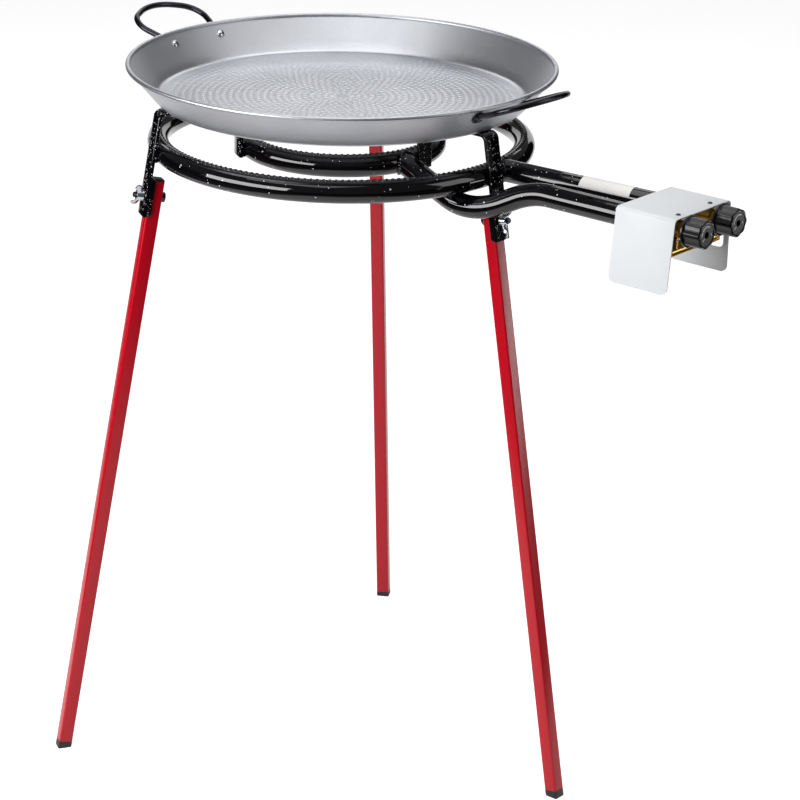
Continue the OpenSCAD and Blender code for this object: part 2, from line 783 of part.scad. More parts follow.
module hose_tail() {
    tail_l = tail_hex_l + tail_land + barbs * barb_l;
    color("#c9a13c") translate([manifold_x[1], manifold_y, manifold_z]) rotate([0, 90, 0]) difference() {
        union() {
            translate([0, 0, -fitting_spigot_l])
                cylinder(d = manifold_bore - 2 * fit_gap, h = fitting_spigot_l + tail_hex_l / 2);
            cylinder(d = over_corners(fitting_af), h = tail_hex_l, $fn = 6);
            cylinder(d = tail_d, h = tail_hex_l + tail_land);
            cylinder(d = tail_d - 3 * barb_depth, h = tail_l);
            for (i = [0:barbs - 1])
                translate([0, 0, tail_hex_l + tail_land + i * barb_l])
                    cylinder(d1 = tail_d, d2 = tail_d - 2 * barb_depth, h = barb_l);
        }
        translate([0, 0, -fitting_spigot_l - past])
            cylinder(d = tail_bore, h = fitting_spigot_l + tail_l + 2 * past);
    }
}

module tap_body(x) {
    pillar_top = shield_z - fit_gap;
    color("#b98f35") difference() {
        union() {
            outwards(x, neck_y, ring_z) cylinder(d = neck_d, h = neck_l + barrel_l / 2);
            outwards(x, barrel_y, ring_z) cylinder(d = barrel_d, h = barrel_l);
            translate([x, manifold_y, manifold_z]) cylinder(d = boss_d, h = manifold_drop);
            translate([x, pillar_y, ring_z]) cylinder(d = pillar_d, h = pillar_top - ring_z);
        }
        translate([manifold_x[0], manifold_y, manifold_z]) rotate([0, 90, 0])
            cylinder(d = manifold_d + 2 * fit_gap, h = tap_pitch + 2 * manifold_end);
        outwards(x, neck_y + past, ring_z) cylinder(d = jet_d + 2 * fit_gap, h = neck_l + past);
        outwards(x, gland_y + spindle_in, ring_z)
            cylinder(d = spindle_d + 2 * run_gap, h = spindle_in + past);
        translate([x, pillar_y, pillar_top - screw_l])
            cylinder(d = screw_d + 2 * fit_gap, h = screw_l + past);
        translate([x, manifold_y, manifold_z]) cylinder(d = tail_bore, h = manifold_drop - barrel_d / 4);
    }
}

module gland_nut(x) {
    color("#b98f35") outwards(x, gland_y - fit_gap / 2, ring_z) difference() {
        cylinder(d = over_corners(gland_af), h = gland_l, $fn = 6);
        translate([0, 0, -past]) cylinder(d = spindle_d + 2 * run_gap, h = gland_l + 2 * past);
    }
}

module injector(x) {
    nose_l = bush_t + jet_nose_l;
    color("#d8b75a") outwards(x, -tube_end_out, ring_z) difference() {
        union() {
            translate([0, 0, -bush_t - jet_nose_l / 2]) cylinder(d = jet_d, h = nose_l + neck_l / 2);
            translate([0, 0, -nose_l]) cylinder(d1 = jet_d / 2, d2 = jet_d, h = jet_nose_l / 2);
            cylinder(d = over_corners(jet_af), h = jet_hex_l, $fn = 6);
        }
        translate([0, 0, -nose_l - past]) cylinder(d = jet_bore, h = nose_l + neck_l + 2 * past);
    }
}

// Flat of the spindle's D section, cut into the given round bar
module d_shaft(d, h, flat) {
    difference() {
        cylinder(d = d, h = h);
        translate([flat, -d, -past]) cube([d, 2 * d, h + 2 * past]);
    }
}

module tap_spindle(x) {
    round_l = spindle_in - 2 * fit_gap + gland_l + knob_gap / 2;
    full_l = spindle_in + gland_l + knob_gap + knob_bore_l - past;
    color("#a9acb0") outwards(x, gland_y + spindle_in - 2 * fit_gap, ring_z) {
        cylinder(d = spindle_d, h = round_l);
        d_shaft(spindle_d, full_l, spindle_d / 4);
    }
}

module knob(x) {
    color("#1d1d20") outwards(x, knob_y, ring_z) difference() {
        union() {
            cylinder(d = skirt_d, h = skirt_t);
            cylinder(d = knob_d, h = knob_l);
        }
        for (i = [0:flutes - 1]) rotate([0, 0, (i + 0.5) * 360 / flutes])
            translate([knob_d / 2 + flute_r - flute_depth, 0, skirt_t])
                cylinder(r = flute_r, h = knob_l);
        translate([0, 0, -past])
            d_shaft(spindle_d + 2 * fit_gap, knob_bore_l + past, spindle_d / 4 + fit_gap);
        translate([0, 0, knob_l - past]) cylinder(d = knob_recess_d, h = 2 * past);
    }
}

outer_ring();
inner_ring();
outer_inlet();
inner_inlet();
color("#161418") pan_support(leg_az[0]);  // pan_support_front
color("#161418") pan_support(leg_az[1]);  // pan_support_right
color("#161418") pan_support(leg_az[2]);  // pan_support_left
leg(leg_az[0]);  // leg_front
leg(leg_az[1]);  // leg_right
leg(leg_az[2]);  // leg_left
leg_foot(leg_az[0]);  // leg_foot_front
leg_foot(leg_az[1]);  // leg_foot_right
leg_foot(leg_az[2]);  // leg_foot_left
leg_cap(leg_az[0]);  // leg_cap_front
leg_cap(leg_az[1]);  // leg_cap_right
leg_cap(leg_az[2]);  // leg_cap_left
leg_bolt(leg_az[0]);  // leg_bolt_front
leg_bolt(leg_az[1]);  // leg_bolt_right
leg_bolt(leg_az[2]);  // leg_bolt_left
wing_nut(leg_az[0]);  // wing_nut_front
wing_nut(leg_az[1]);  // wing_nut_right
wing_nut(leg_az[2]);  // wing_nut_left
paella_pan();
pan_handle(handle_az[0]);  // pan_handle_front
pan_handle(handle_az[1]);  // pan_handle_back
pan_rivets();
control_shield();
shield_screws();
gas_manifold();
manifold_plug();
hose_tail();
tap_body(inner_tap_x);  // tap_body_inner
tap_body(outer_tap_x);  // tap_body_outer
gland_nut(inner_tap_x);  // gland_nut_inner
gland_nut(outer_tap_x);  // gland_nut_outer
injector(inner_tap_x);  // injector_inner
injector(outer_tap_x);  // injector_outer
tap_spindle(inner_tap_x);  // tap_spindle_inner
tap_spindle(outer_tap_x);  // tap_spindle_outer
knob(inner_tap_x);  // knob_inner
knob(outer_tap_x);  // knob_outer
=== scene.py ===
"""Looks of a two-ring gas paella burner and its pan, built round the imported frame."""
import math

import bmesh
import bpy
from mathutils import Matrix, Vector, noise


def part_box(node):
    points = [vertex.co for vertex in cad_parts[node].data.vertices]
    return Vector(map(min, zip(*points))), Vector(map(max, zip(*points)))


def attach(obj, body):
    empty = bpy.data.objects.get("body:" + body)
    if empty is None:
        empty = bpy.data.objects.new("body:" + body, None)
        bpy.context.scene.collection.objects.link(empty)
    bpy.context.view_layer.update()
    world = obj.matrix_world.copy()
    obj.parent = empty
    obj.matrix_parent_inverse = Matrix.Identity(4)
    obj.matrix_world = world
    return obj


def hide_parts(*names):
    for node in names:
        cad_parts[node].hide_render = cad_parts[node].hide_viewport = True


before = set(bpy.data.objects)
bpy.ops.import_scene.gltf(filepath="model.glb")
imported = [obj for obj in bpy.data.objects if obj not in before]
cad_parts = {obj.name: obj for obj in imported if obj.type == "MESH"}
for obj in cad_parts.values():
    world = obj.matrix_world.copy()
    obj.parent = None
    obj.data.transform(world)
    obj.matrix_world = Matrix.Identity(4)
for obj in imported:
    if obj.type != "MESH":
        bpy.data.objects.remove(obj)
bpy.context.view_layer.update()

MM = 0.001
MERGE = 0.005 * MM
SMOOTH = math.radians(35)
UP = Vector((0, 0, 1))

# Sizes that the frame gives
RING_LOW, RING_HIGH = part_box("outer_ring")
TUBE_R = (RING_HIGH.z - RING_LOW.z) / 2
RING_Z = (RING_HIGH.z + RING_LOW.z) / 2
OUTER_R = RING_HIGH.x - TUBE_R
INNER_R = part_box("inner_ring")[1].x - TUBE_R
PAN_LOW, PAN_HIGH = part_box("paella_pan")
SEAT_Z = PAN_LOW.z
SHIELD_LOW, SHIELD_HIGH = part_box("control_shield")
TAP_X = [sum(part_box("knob_" + ring), Vector()).x / 2 for ring in ("inner", "outer")]

# Sizes repeated from the part's source
TUBE_WALL = 1.5 * MM
STRAP_T = 4 * MM
SUPPORT_W = 21.2 * MM
WELD_GAP = 0.1 * MM
STRAP_X = TUBE_R + WELD_GAP
SPLAY = math.radians(10)
LEG_AZ = {"front": math.radians(-90), "right": math.radians(30), "left": math.radians(150)}
LEG_W = 15 * MM
LEG_GAP = 0.12 * MM
LEG_X = STRAP_X - LEG_GAP - LEG_W / 2
LEG_TOP = -29 * MM
BOLT_Z = -47 * MM
NUT_GAP = 0.07 * MM
NUT_X = STRAP_X + STRAP_T + NUT_GAP


def placed(origin, forward, side):
    """Frame at a point, with Z along forward and Y along side."""
    z = Vector(forward).normalized()
    y = Vector(side)
    y = (y - z * y.dot(z)).normalized()
    x = y.cross(z)
    return Matrix.Translation(origin) @ Matrix((x, y, z)).transposed().to_4x4()


def along_x(origin):
    """Frame at a point, with Z along +X and Y along +Y."""
    return placed(origin, (1, 0, 0), (0, 1, 0))


def about_z(angle):
    return Matrix.Rotation(angle, 4, "Z")


def leg_place(az):
    """Frame of one leg: X outwards along its bolt, Z up along the leg."""
    return (
        about_z(az)
        @ Matrix.Translation((OUTER_R, 0, RING_Z))
        @ Matrix.Rotation(-SPLAY, 4, "Y")
    )


def merge(bm):
    bmesh.ops.remove_doubles(bm, verts=bm.verts, dist=MERGE)


def bridge(bm, first, second):
    bmesh.ops.bridge_loops(bm, edges=first + second)


def moved(bm, place):
    bmesh.ops.transform(bm, matrix=place, verts=bm.verts)
    return bm


def edges_of(verts):
    return list({edge for vert in verts for edge in vert.link_edges})


def circle_loop(bm, radius, sides, place=Matrix()):
    made = bmesh.ops.create_circle(bm, segments=sides, radius=radius, matrix=place)
    return edges_of(made["verts"])


def square_loop(bm, width, depth, corner, place=Matrix(), segments=4):
    """Rectangle with rounded corners, its width along X and its depth along Y of its place."""
    before = set(bm.verts)
    made = bmesh.ops.create_grid(bm, x_segments=1, y_segments=1, size=0.5)
    bmesh.ops.scale(bm, vec=(width, depth, 1), verts=made["verts"])
    bmesh.ops.bevel(
        bm, geom=made["verts"], offset=corner, offset_type="OFFSET", segments=segments,
        profile=0.5, affect="VERTICES", material=-1,
    )
    fresh = [vert for vert in bm.verts if vert not in before]
    face = fresh[0].link_faces[0]
    bmesh.ops.delete(bm, geom=[face], context="FACES_ONLY")
    bmesh.ops.transform(bm, matrix=place, verts=fresh)
    return edges_of(fresh)


def edges_in(parts):
    return [part for part in parts if isinstance(part, bmesh.types.BMEdge)]


def pushed(bm, edges, step):
    """Extrudes a loop by a step and returns the new loop."""
    made = bmesh.ops.extrude_edge_only(bm, edges=edges)["geom"]
    fresh = {part for part in made if isinstance(part, bmesh.types.BMVert)}
    bmesh.ops.translate(bm, verts=list(fresh), vec=step)
    return [edge for edge in edges_in(made) if fresh.issuperset(edge.verts)]


def resized(bm, edges, factor):
    """Scales a loop about its own middle and returns it."""
    verts = list({vert for edge in edges for vert in edge.verts})
    middle = sum((vert.co for vert in verts), Vector()) / len(verts)
    bmesh.ops.scale(bm, vec=factor, space=Matrix.Translation(-middle), verts=verts)
    return edges


def stepped(bm, edge, steps):
    """Pushes a loop up by steps, drawing it in or out at each one."""
    for rise, share in steps:
        edge = resized(bm, pushed(bm, edge, UP * rise), (share, share, 1))
    return edge


def filled(bm, *loops):
    for edges in loops:
        bmesh.ops.edgeloop_fill(bm, edges=edges)


def prism(bm, edges, step):
    """Pushes a loop by a step and closes both ends."""
    far = pushed(bm, edges, step)
    filled(bm, edges, far)
    return far


def spun_round(bm, geom, angle, steps, **more):
    """Spins parts about the Z axis."""
    return bmesh.ops.spin(
        bm, geom=geom, cent=(0, 0, 0), axis=UP, angle=angle, steps=steps, **more,
    )


def swept(bm, edges, path, bends, steps):
    """Carries a loop along straight runs and round bends, and returns its last loop."""
    headings = [(b - a).normalized() for a, b in zip(path, path[1:])]
    here = path[0]
    for i, heading in enumerate(headings):
        turn = heading.angle(headings[i + 1]) if i + 1 < len(headings) else 0
        cut = bends[i] * math.tan(turn / 2) if turn else 0
        stop = path[i + 1] - heading * cut
        edges = pushed(bm, edges, stop - here)
        here = stop
        if turn:
            axis = heading.cross(headings[i + 1]).normalized()
            spun = bmesh.ops.spin(
                bm, geom=edges, cent=here + axis.cross(heading) * bends[i],
                axis=axis, angle=turn, steps=steps,
            )
            edges = edges_in(spun["geom_last"])
            here = path[i + 1] + headings[i + 1] * cut
    return edges


def turned(profile, steps, place=Matrix()):
    """Lathe shape of (radius, height) points about the Z axis of its place."""
    bm = bmesh.new()
    verts = [bm.verts.new((radius, 0, height)) for radius, height in profile]
    edges = [bm.edges.new(pair) for pair in zip(verts, verts[1:])]
    spun_round(bm, verts + edges, math.tau, steps, use_merge=True)
    merge(bm)
    moved(bm, place)
    bmesh.ops.recalc_face_normals(bm, faces=bm.faces)
    return bm


def lofted(bm, loops):
    """Skins a row of loops and closes both ends."""
    for a, b in zip(loops, loops[1:]):
        bridge(bm, a, b)
    filled(bm, loops[0], loops[-1])


def softened(bm, edges, size):
    """Rounds sharp edges."""
    bmesh.ops.bevel(
        bm, geom=edges, offset=size, offset_type="OFFSET", segments=3,
        profile=0.5, affect="EDGES", material=-1, clamp_overlap=True,
    )


def in_scene(name, data):
    obj = bpy.data.objects.new(name, data)
    bpy.context.scene.collection.objects.link(obj)
    return obj


def as_object(bm, name):
    bmesh.ops.recalc_face_normals(bm, faces=bm.faces)
    mesh = bpy.data.meshes.new(name)
    bm.to_mesh(mesh)
    bm.free()
    return in_scene(name, mesh)


def combined(base, joined=(), cut=(), kept=()):
    """One bmesh of a base with others joined on, cut away, or kept as the part inside them."""
    body = as_object(base, "work")
    tools = []
    for others, operation in ((joined, "UNION"), (cut, "DIFFERENCE"), (kept, "INTERSECT")):
        for other in others:
            tools.append(as_object(other, "tool"))
            step = body.modifiers.new("step", "BOOLEAN")
            step.operation = operation
            step.solver = "EXACT"
            step.object = tools[-1]
    graph = bpy.context.evaluated_depsgraph_get()
    mesh = bpy.data.meshes.new_from_object(body.evaluated_get(graph))
    bm = bmesh.new()
    bm.from_mesh(mesh)
    bpy.data.meshes.remove(mesh)
    for obj in [body] + tools:
        bpy.data.meshes.remove(obj.data)
    return bm


def added(bm, other):
    """Puts another bmesh's faces into a bmesh."""
    mesh = bpy.data.meshes.new("join")
    other.to_mesh(mesh)
    other.free()
    bm.from_mesh(mesh)
    bpy.data.meshes.remove(mesh)


def piece(name, bm, material, body, nodes=(), smooth=SMOOTH):
    """Makes a bmesh a finished piece that rides on its body and stands for CAD nodes."""
    merge(bm)
    obj = as_object(bm, name)
    obj.data.materials.append(material)
    obj.data.shade_smooth()
    obj.data.set_sharp_from_angle(angle=smooth)
    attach(obj, body)
    if nodes:
        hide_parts(*nodes)
    return obj


def linear(code):
    """Linear colour of an sRGB hex value."""
    parts = [int(code[i:i + 2], 16) / 255 for i in (1, 3, 5)]
    return tuple(p / 12.92 if p <= 0.04045 else ((p + 0.055) / 1.055) ** 2.4 for p in parts) + (1,)


def add(tree, kind, inputs=None, **settings):
    """Adds a node with its settings, and sets or links its inputs."""
    node = tree.nodes.new("ShaderNode" + kind)
    for name, value in settings.items():
        setattr(node, name, value)
    for name, value in (inputs or {}).items():
        if isinstance(value, bpy.types.NodeSocket):
            tree.links.new(value, node.inputs[name])
        else:
            node.inputs[name].default_value = value
    return node


def maths(tree, operation, *values):
    """Result of a maths node on sockets or numbers."""
    inputs = dict(enumerate(values))
    return add(tree, "Math", inputs, operation=operation).outputs["Value"]


def measured(tree, operation, *vectors):
    """Number that a vector maths node gives."""
    inputs = dict(enumerate(vectors))
    return add(tree, "VectorMath", inputs, operation=operation).outputs["Value"]


def times(tree, *values):
    """Product of sockets."""
    result = values[0]
    for value in values[1:]:
        result = maths(tree, "MULTIPLY", result, value)
    return result


def mapped(tree, value, low, high, start=0.0, stop=1.0, kind="LINEAR"):
    """Value carried from the range start to stop into low to high, and held at its ends."""
    return add(
        tree, "MapRange",
        {"Value": value, "From Min": start, "From Max": stop, "To Min": low, "To Max": high},
        interpolation_type=kind,
    ).outputs["Result"]


def per_metre(millimetres):
    """Texture scale that repeats about once in a real length."""
    return 1 / (millimetres * MM)


def clouds(tree, place, size_mm, detail):
    """Noise whose lumps are about a real size."""
    inputs = {"Vector": place, "Scale": per_metre(size_mm), "Detail": detail}
    return add(tree, "TexNoise", inputs).outputs["Fac"]


def blended(tree, share, first, second):
    """Colour between two others."""
    inputs = {"Factor": share, "A": first, "B": second}
    return add(tree, "Mix", inputs, data_type="RGBA").outputs["Result"]


def bumped(tree, height, strength, depth_mm, under=None):
    """Surface normal of a relief of a real depth, on top of another one if that is given."""
    inputs = {"Height": height, "Strength": strength, "Distance": depth_mm * MM}
    if under:
        inputs["Normal"] = under
    return add(tree, "Bump", inputs).outputs["Normal"]


def new_finish(name):
    """New material, its empty tree, and the socket with the place on the object."""
    material = bpy.data.materials.new(name)
    material.use_nodes = True
    tree = material.node_tree
    tree.nodes.clear()
    return material, tree, add(tree, "TexCoord").outputs["Object"]


def surfaced(tree, inputs):
    """Ends a material's tree in a principled shader."""
    shader = add(tree, "BsdfPrincipled", inputs)
    add(tree, "OutputMaterial", {"Surface": shader.outputs["BSDF"]})


def vitreous_enamel(name, speck_gap, speck_size):
    """Fired black enamel: deep gloss with a faint peel, and white specks from the frit."""
    material, tree, place = new_finish(name)
    cells = add(tree, "TexVoronoi", {"Vector": place, "Scale": per_metre(speck_gap)})
    chance = add(tree, "SeparateColor", {"Color": cells.outputs["Color"]}).outputs["Red"]
    # Under half of the cells hold a speck
    reach = mapped(tree, chance, 0.0, speck_size / speck_gap, 0.55)
    speck = maths(tree, "LESS_THAN", cells.outputs["Distance"], reach)
    surfaced(tree, {
        "Base Color": blended(tree, speck, linear("#08070a"), linear("#dcdadd")),
        "Roughness": 0.06,
        "IOR": 1.55,
        "Normal": bumped(tree, clouds(tree, place, 9, 1.0), 0.12, 0.25),
    })
    return material


def coated(name, colour, roughness, peel_mm, peel_depth, shine=0.5):
    """Sprayed or moulded finish: an even colour with slight shade drift and a fine peel."""
    material, tree, place = new_finish(name)
    base = linear(colour)
    darker = tuple(0.92 * c for c in base[:3]) + (1,)
    peel = clouds(tree, place, peel_mm, 2.0)
    surfaced(tree, {
        "Base Color": blended(tree, clouds(tree, place, 60, 2.0), darker, base),
        "Roughness": mapped(tree, peel, 0.85 * roughness, 1.15 * roughness),
        "Specular IOR Level": shine,
        "Normal": bumped(tree, peel, 0.5, peel_depth),
    })
    return material


def bare_metal(name, colour, worn, roughness, stain_mm):
    """Plated or cast metal: a metallic colour with clouded gloss and a second, worn tint."""
    material, tree, place = new_finish(name)
    cloud = clouds(tree, place, stain_mm, 3.0)
    surfaced(tree, {
        "Base Color": blended(tree, cloud, linear(colour), linear(worn)),
        "Metallic": 1.0,
        "Roughness": mapped(tree, cloud, 0.7 * roughness, 1.3 * roughness),
    })
    return material


def spun_steel(name, base_z, wall_z):
    """Spun carbon steel: faint lathe rings under a fine sanded grain, duller up the wall."""
    material, tree, place = new_finish(name)
    axes = add(tree, "SeparateXYZ", {"Vector": place}).outputs
    flat = add(tree, "CombineXYZ", {"X": axes["X"], "Y": axes["Y"]}).outputs["Vector"]
    # The lathe's rings are finer than this, and drawn coarser so that they show
    rings = add(
        tree, "TexNoise",
        {"W": measured(tree, "LENGTH", flat), "Scale": per_metre(1.4), "Detail": 3.0},
        noise_dimensions="1D",
    ).outputs["Fac"]
    cloud = clouds(tree, place, 55, 3.0)
    grain = clouds(tree, place, 2.4, 2.0)
    dull = mapped(tree, axes["Z"], 0.32, 0.44, base_z, wall_z)
    sanded = mapped(tree, grain, 0.8, 1.2)
    surfaced(tree, {
        "Base Color": blended(tree, cloud, linear("#b6b8bd"), linear("#c8cacf")),
        "Metallic": 1.0,
        "Roughness": times(tree, dull, sanded),
        "Normal": bumped(tree, grain, 0.5, 0.2, bumped(tree, rings, 0.15, 0.03)),
    })
    return material


ENAMEL = vitreous_enamel("black_vitreous_enamel", 4.4, 0.95)
SPECKLED = vitreous_enamel("speckled_vitreous_enamel", 1.9, 0.8)
RED_PAINT = coated("red_gloss_paint", "#c4001b", 0.25, 3, 0.02, 0.45)
WHITE_COAT = coated("white_powder_coat", "#e4e7ea", 0.38, 1.6, 0.03)
BLACK_PLASTIC = coated("black_moulded_plastic", "#0f0e11", 0.28, 0.8, 0.01, 0.4)
FOOT_PLASTIC = coated("black_polyethylene", "#121214", 0.5, 0.8, 0.02)
SCREW_BLACK = coated("black_screw_coat", "#1a1a1d", 0.35, 0.6, 0.01)
LABEL_PAPER = coated("white_label_paper", "#f1efec", 0.55, 0.7, 0.01)
MARK_PAINT = coated("white_mark_paint", "#e6e6e8", 0.45, 0.7, 0.005)
ZINC = bare_metal("bright_zinc_plate", "#c9ccd1", "#aeb2b8", 0.22, 5)
BOLT_STEEL = bare_metal("dark_bolt_steel", "#4a4a4f", "#36363b", 0.3, 5)
HANDLE_STEEL = bare_metal("dark_phosphated_steel", "#3f3e44", "#2e2d32", 0.27, 20)
RIVET_STEEL = bare_metal("polished_rivet_steel", "#d2d4d7", "#c0c3c7", 0.2, 5)
BRASS = bare_metal("machined_brass", "#d3ab5c", "#b08a44", 0.26, 12)
SPINDLE_STEEL = bare_metal("turned_spindle_steel", "#b4b6ba", "#9a9da2", 0.25, 6)
DULL_FROM_Z = SEAT_Z + 2 * MM
DULL_TO_Z = SEAT_Z + 12 * MM
PAN_STEEL = spun_steel("spun_carbon_steel", DULL_FROM_Z, DULL_TO_Z)

# Burner rings: bent tube with two staggered rows of flame ports along its top
PLAIN_SIDES = 22
# Lean of each row towards the rings' middle, and the angle that a port's face takes up
PORT_LEANS = (math.radians(14), math.radians(-9))
PORT_FACE = math.radians(15)
PORT_R = 0.95 * MM
PORT_SIDES = 12
LIP_R = 1.2 * MM
LIP_BASE_R = 1.5 * MM
LIP_H = 0.6 * MM
PORT_DEPTH = 3 * MM
PORT_PITCH = 6.5 * MM


def drilled(bm, face, outward):
    """Turns a face into a flame port: a hole with a floor, and a lip that stands proud."""
    middle = face.calc_center_median()
    rim = list(face.edges)
    bmesh.ops.delete(bm, geom=[face], context="FACES_ONLY")
    base = circle_loop(bm, LIP_BASE_R, PORT_SIDES, placed(middle, outward, UP))
    bridge(bm, rim, base)
    lip = resized(bm, pushed(bm, base, outward * LIP_H), (LIP_R / LIP_BASE_R,) * 3)
    throat = resized(bm, pushed(bm, lip, Vector()), (PORT_R / LIP_R,) * 3)
    filled(bm, pushed(bm, throat, -outward * (LIP_H + PORT_DEPTH)))


def ring_section(bm, ring_r):
    """Round section that has one side for each row of ports, and even sides elsewhere."""
    halves = (-PORT_FACE / 2, PORT_FACE / 2)
    marks = sorted(math.pi / 2 + lean + half for lean in PORT_LEANS for half in halves)
    side = (marks[0] + math.tau - marks[-1]) / PLAIN_SIDES
    angles = marks + [marks[-1] + side * k for k in range(1, PLAIN_SIDES)]
    verts = [
        bm.verts.new((ring_r + TUBE_R * math.cos(a), 0, RING_Z + TUBE_R * math.sin(a)))
        for a in angles
    ]
    return [bm.edges.new(pair) for pair in zip(verts, verts[1:] + verts[:1])]


def burner_ring(ring_r):
    """Makes one sector with a port of each row, and copies it round the ring."""
    ports = round(math.tau * ring_r / PORT_PITCH)
    sector = math.tau / ports
    bm = bmesh.new()
    section = ring_section(bm, ring_r)
    spun_round(bm, section + bm.verts[:], sector, 2)
    for column, lean in enumerate(PORT_LEANS):
        spot = about_z((column + 0.5) * sector / 2)
        outward = spot @ Vector((-math.sin(lean), 0, math.cos(lean)))
        target = spot @ Vector((ring_r, 0, RING_Z)) + outward * TUBE_R
        face = min(bm.faces, key=lambda f: (f.calc_center_median() - target).length)
        drilled(bm, face, outward)
    whole = bm.verts[:] + bm.edges[:] + bm.faces[:]
    spun_round(bm, whole, math.tau - sector, ports - 1, use_duplicate=True)
    merge(bm)
    return bm


piece("outer_burner_tube", burner_ring(OUTER_R), ENAMEL, "stand", ["outer_ring"])
piece("inner_burner_tube", burner_ring(INNER_R), ENAMEL, "stand", ["inner_ring"])

# Inlet tubes, from their rings to the taps, on the paths of the part's source
INLET_BEND = 72 * MM
INLET_SIDES = 40
BEND_STEPS = 16
INLET_AZ = math.radians(-100.3)
INNER_PATH = [
    Vector((INNER_R * math.cos(INLET_AZ), INNER_R * math.sin(INLET_AZ), RING_Z)),
    Vector((-38.085, -209.568, 645.5)) * MM, Vector((-13, -269, 676)) * MM,
    Vector((-13, -412, 676)) * MM,
]
OUTER_PATH = [Vector((30, -193.69, 676)) * MM, Vector((42, -412, 676)) * MM]
BUSH_T = 6 * MM
JET_HOLE_R = 4.1 * MM
AIR_WINDOW = Vector((40, 16, 10)) * MM
AIR_WINDOW_GAP = 1 * MM
SADDLE_GAP = 0.05 * MM


def torus(ring_r, tube_r):
    """Plain ring that cuts an inlet's mouth to fit."""
    bm = bmesh.new()
    place = Matrix.Translation((ring_r, 0, RING_Z)) @ Matrix.Rotation(math.pi / 2, 4, "X")
    section = circle_loop(bm, tube_r, sides=48, place=place)
    spun_round(bm, section, math.tau, 180, use_merge=True)
    return bm


def inlet(path, bends, ring_r):
    """Mixing tube with a bush for the injector, air windows, and a mouth that fits its ring."""
    heading = (path[1] - path[0]).normalized()
    bm = bmesh.new()
    start = circle_loop(bm, TUBE_R, INLET_SIDES, placed(path[0], heading, UP))
    end = swept(bm, start, path, bends, BEND_STEPS)
    rim = resized(bm, pushed(bm, end, Vector()), (JET_HOLE_R / TUBE_R,) * 3)
    back = (path[-2] - path[-1]).normalized()
    widen = (TUBE_R - TUBE_WALL) / JET_HOLE_R
    inner = resized(bm, pushed(bm, rim, back * BUSH_T), (widen,) * 3)
    run_back = [path[-1] + back * BUSH_T] + path[-2::-1]
    mouth = swept(bm, inner, run_back, bends[::-1], BEND_STEPS)
    bridge(bm, start, mouth)
    window = bmesh.new()
    at = path[-1] + Vector((0, BUSH_T + AIR_WINDOW_GAP + AIR_WINDOW.y / 2, 0))
    bmesh.ops.create_cube(window, matrix=Matrix.LocRotScale(at, None, AIR_WINDOW))
    return combined(bm, cut=[torus(ring_r, TUBE_R + SADDLE_GAP), window])


piece(
    "outer_inlet_tube", inlet(OUTER_PATH, [], OUTER_R), ENAMEL, "stand",
    ["outer_inlet"],
)
piece(
    "inner_inlet_tube", inlet(INNER_PATH, [INLET_BEND, INLET_BEND], INNER_R), ENAMEL, "stand",
    ["inner_inlet"],
)

# Where the label starts and stops along the outer inlet
LABEL_SPAN = (104 * MM, 165 * MM)
LABEL_WRAP = math.radians(104)
LABEL_LEAN = math.radians(16)
LABEL_LIFT = 0.06 * MM
LABEL_T = 0.12 * MM


def blank_label():
    """Plain paper label wrapped over the top of the outer inlet."""
    start = OUTER_PATH[0]
    heading = (OUTER_PATH[1] - start).normalized()
    bm = bmesh.new()
    lift = UP * (TUBE_R + LABEL_LIFT)
    edge = bm.edges.new([bm.verts.new(start + heading * along + lift) for along in LABEL_SPAN])
    lean = Matrix.Rotation(LABEL_LEAN - LABEL_WRAP / 2, 3, heading)
    bmesh.ops.rotate(bm, cent=start, matrix=lean, verts=bm.verts)
    bmesh.ops.spin(bm, geom=[edge], cent=start, axis=heading, angle=LABEL_WRAP, steps=20)
    bmesh.ops.recalc_face_normals(bm, faces=bm.faces)
    bmesh.ops.solidify(bm, geom=bm.faces[:], thickness=-LABEL_T)
    return bm


piece("tube_label", blank_label(), LABEL_PAPER, "stand")

# Pan supports: one bent strap each, with two cheeks that hold the leg
STRAP_BEND = 7 * MM
STRAP_ROUND = 1 * MM
INNER_TAIL = 8 * MM
SOCKET_DROP = 68 * MM
CHEEK_DROP = 26 * MM
CHEEK_DEPTH = 8.5 * MM
CHEEK_T = 3 * MM
CHEEK_R = 3.8 * MM
CHEEK_ROUND = 0.8 * MM
# The cheeks lie a little inside the strap's outer face and edges
CHEEK_BACK = 0.2 * MM
CHEEK_IN = 0.05 * MM
BOLT_HOLE_R = 3.3 * MM
CUT_PAST = 2 * MM


def strap():
    """Bent strap of the support at azimuth 0, from the leg's socket over to the inner ring."""
    mid_x = STRAP_X + STRAP_T / 2
    arm_z = SEAT_Z - STRAP_T / 2
    corner = (arm_z - RING_Z - mid_x * math.sin(SPLAY)) / math.cos(SPLAY)
    inner_r = INNER_R + TUBE_R + WELD_GAP + STRAP_T / 2
    path = [
        leg_place(0) @ Vector((mid_x, 0, -SOCKET_DROP)), leg_place(0) @ Vector((mid_x, 0, corner)),
        Vector((inner_r, 0, arm_z)), Vector((inner_r, 0, RING_Z - INNER_TAIL)),
    ]
    bm = bmesh.new()
    place = placed(path[0], path[1] - path[0], (0, 1, 0))
    section = square_loop(bm, STRAP_T, SUPPORT_W, STRAP_ROUND, place, segments=3)
    end = swept(bm, section, path, [STRAP_BEND, STRAP_BEND], steps=10)
    filled(bm, section, end)
    return bm


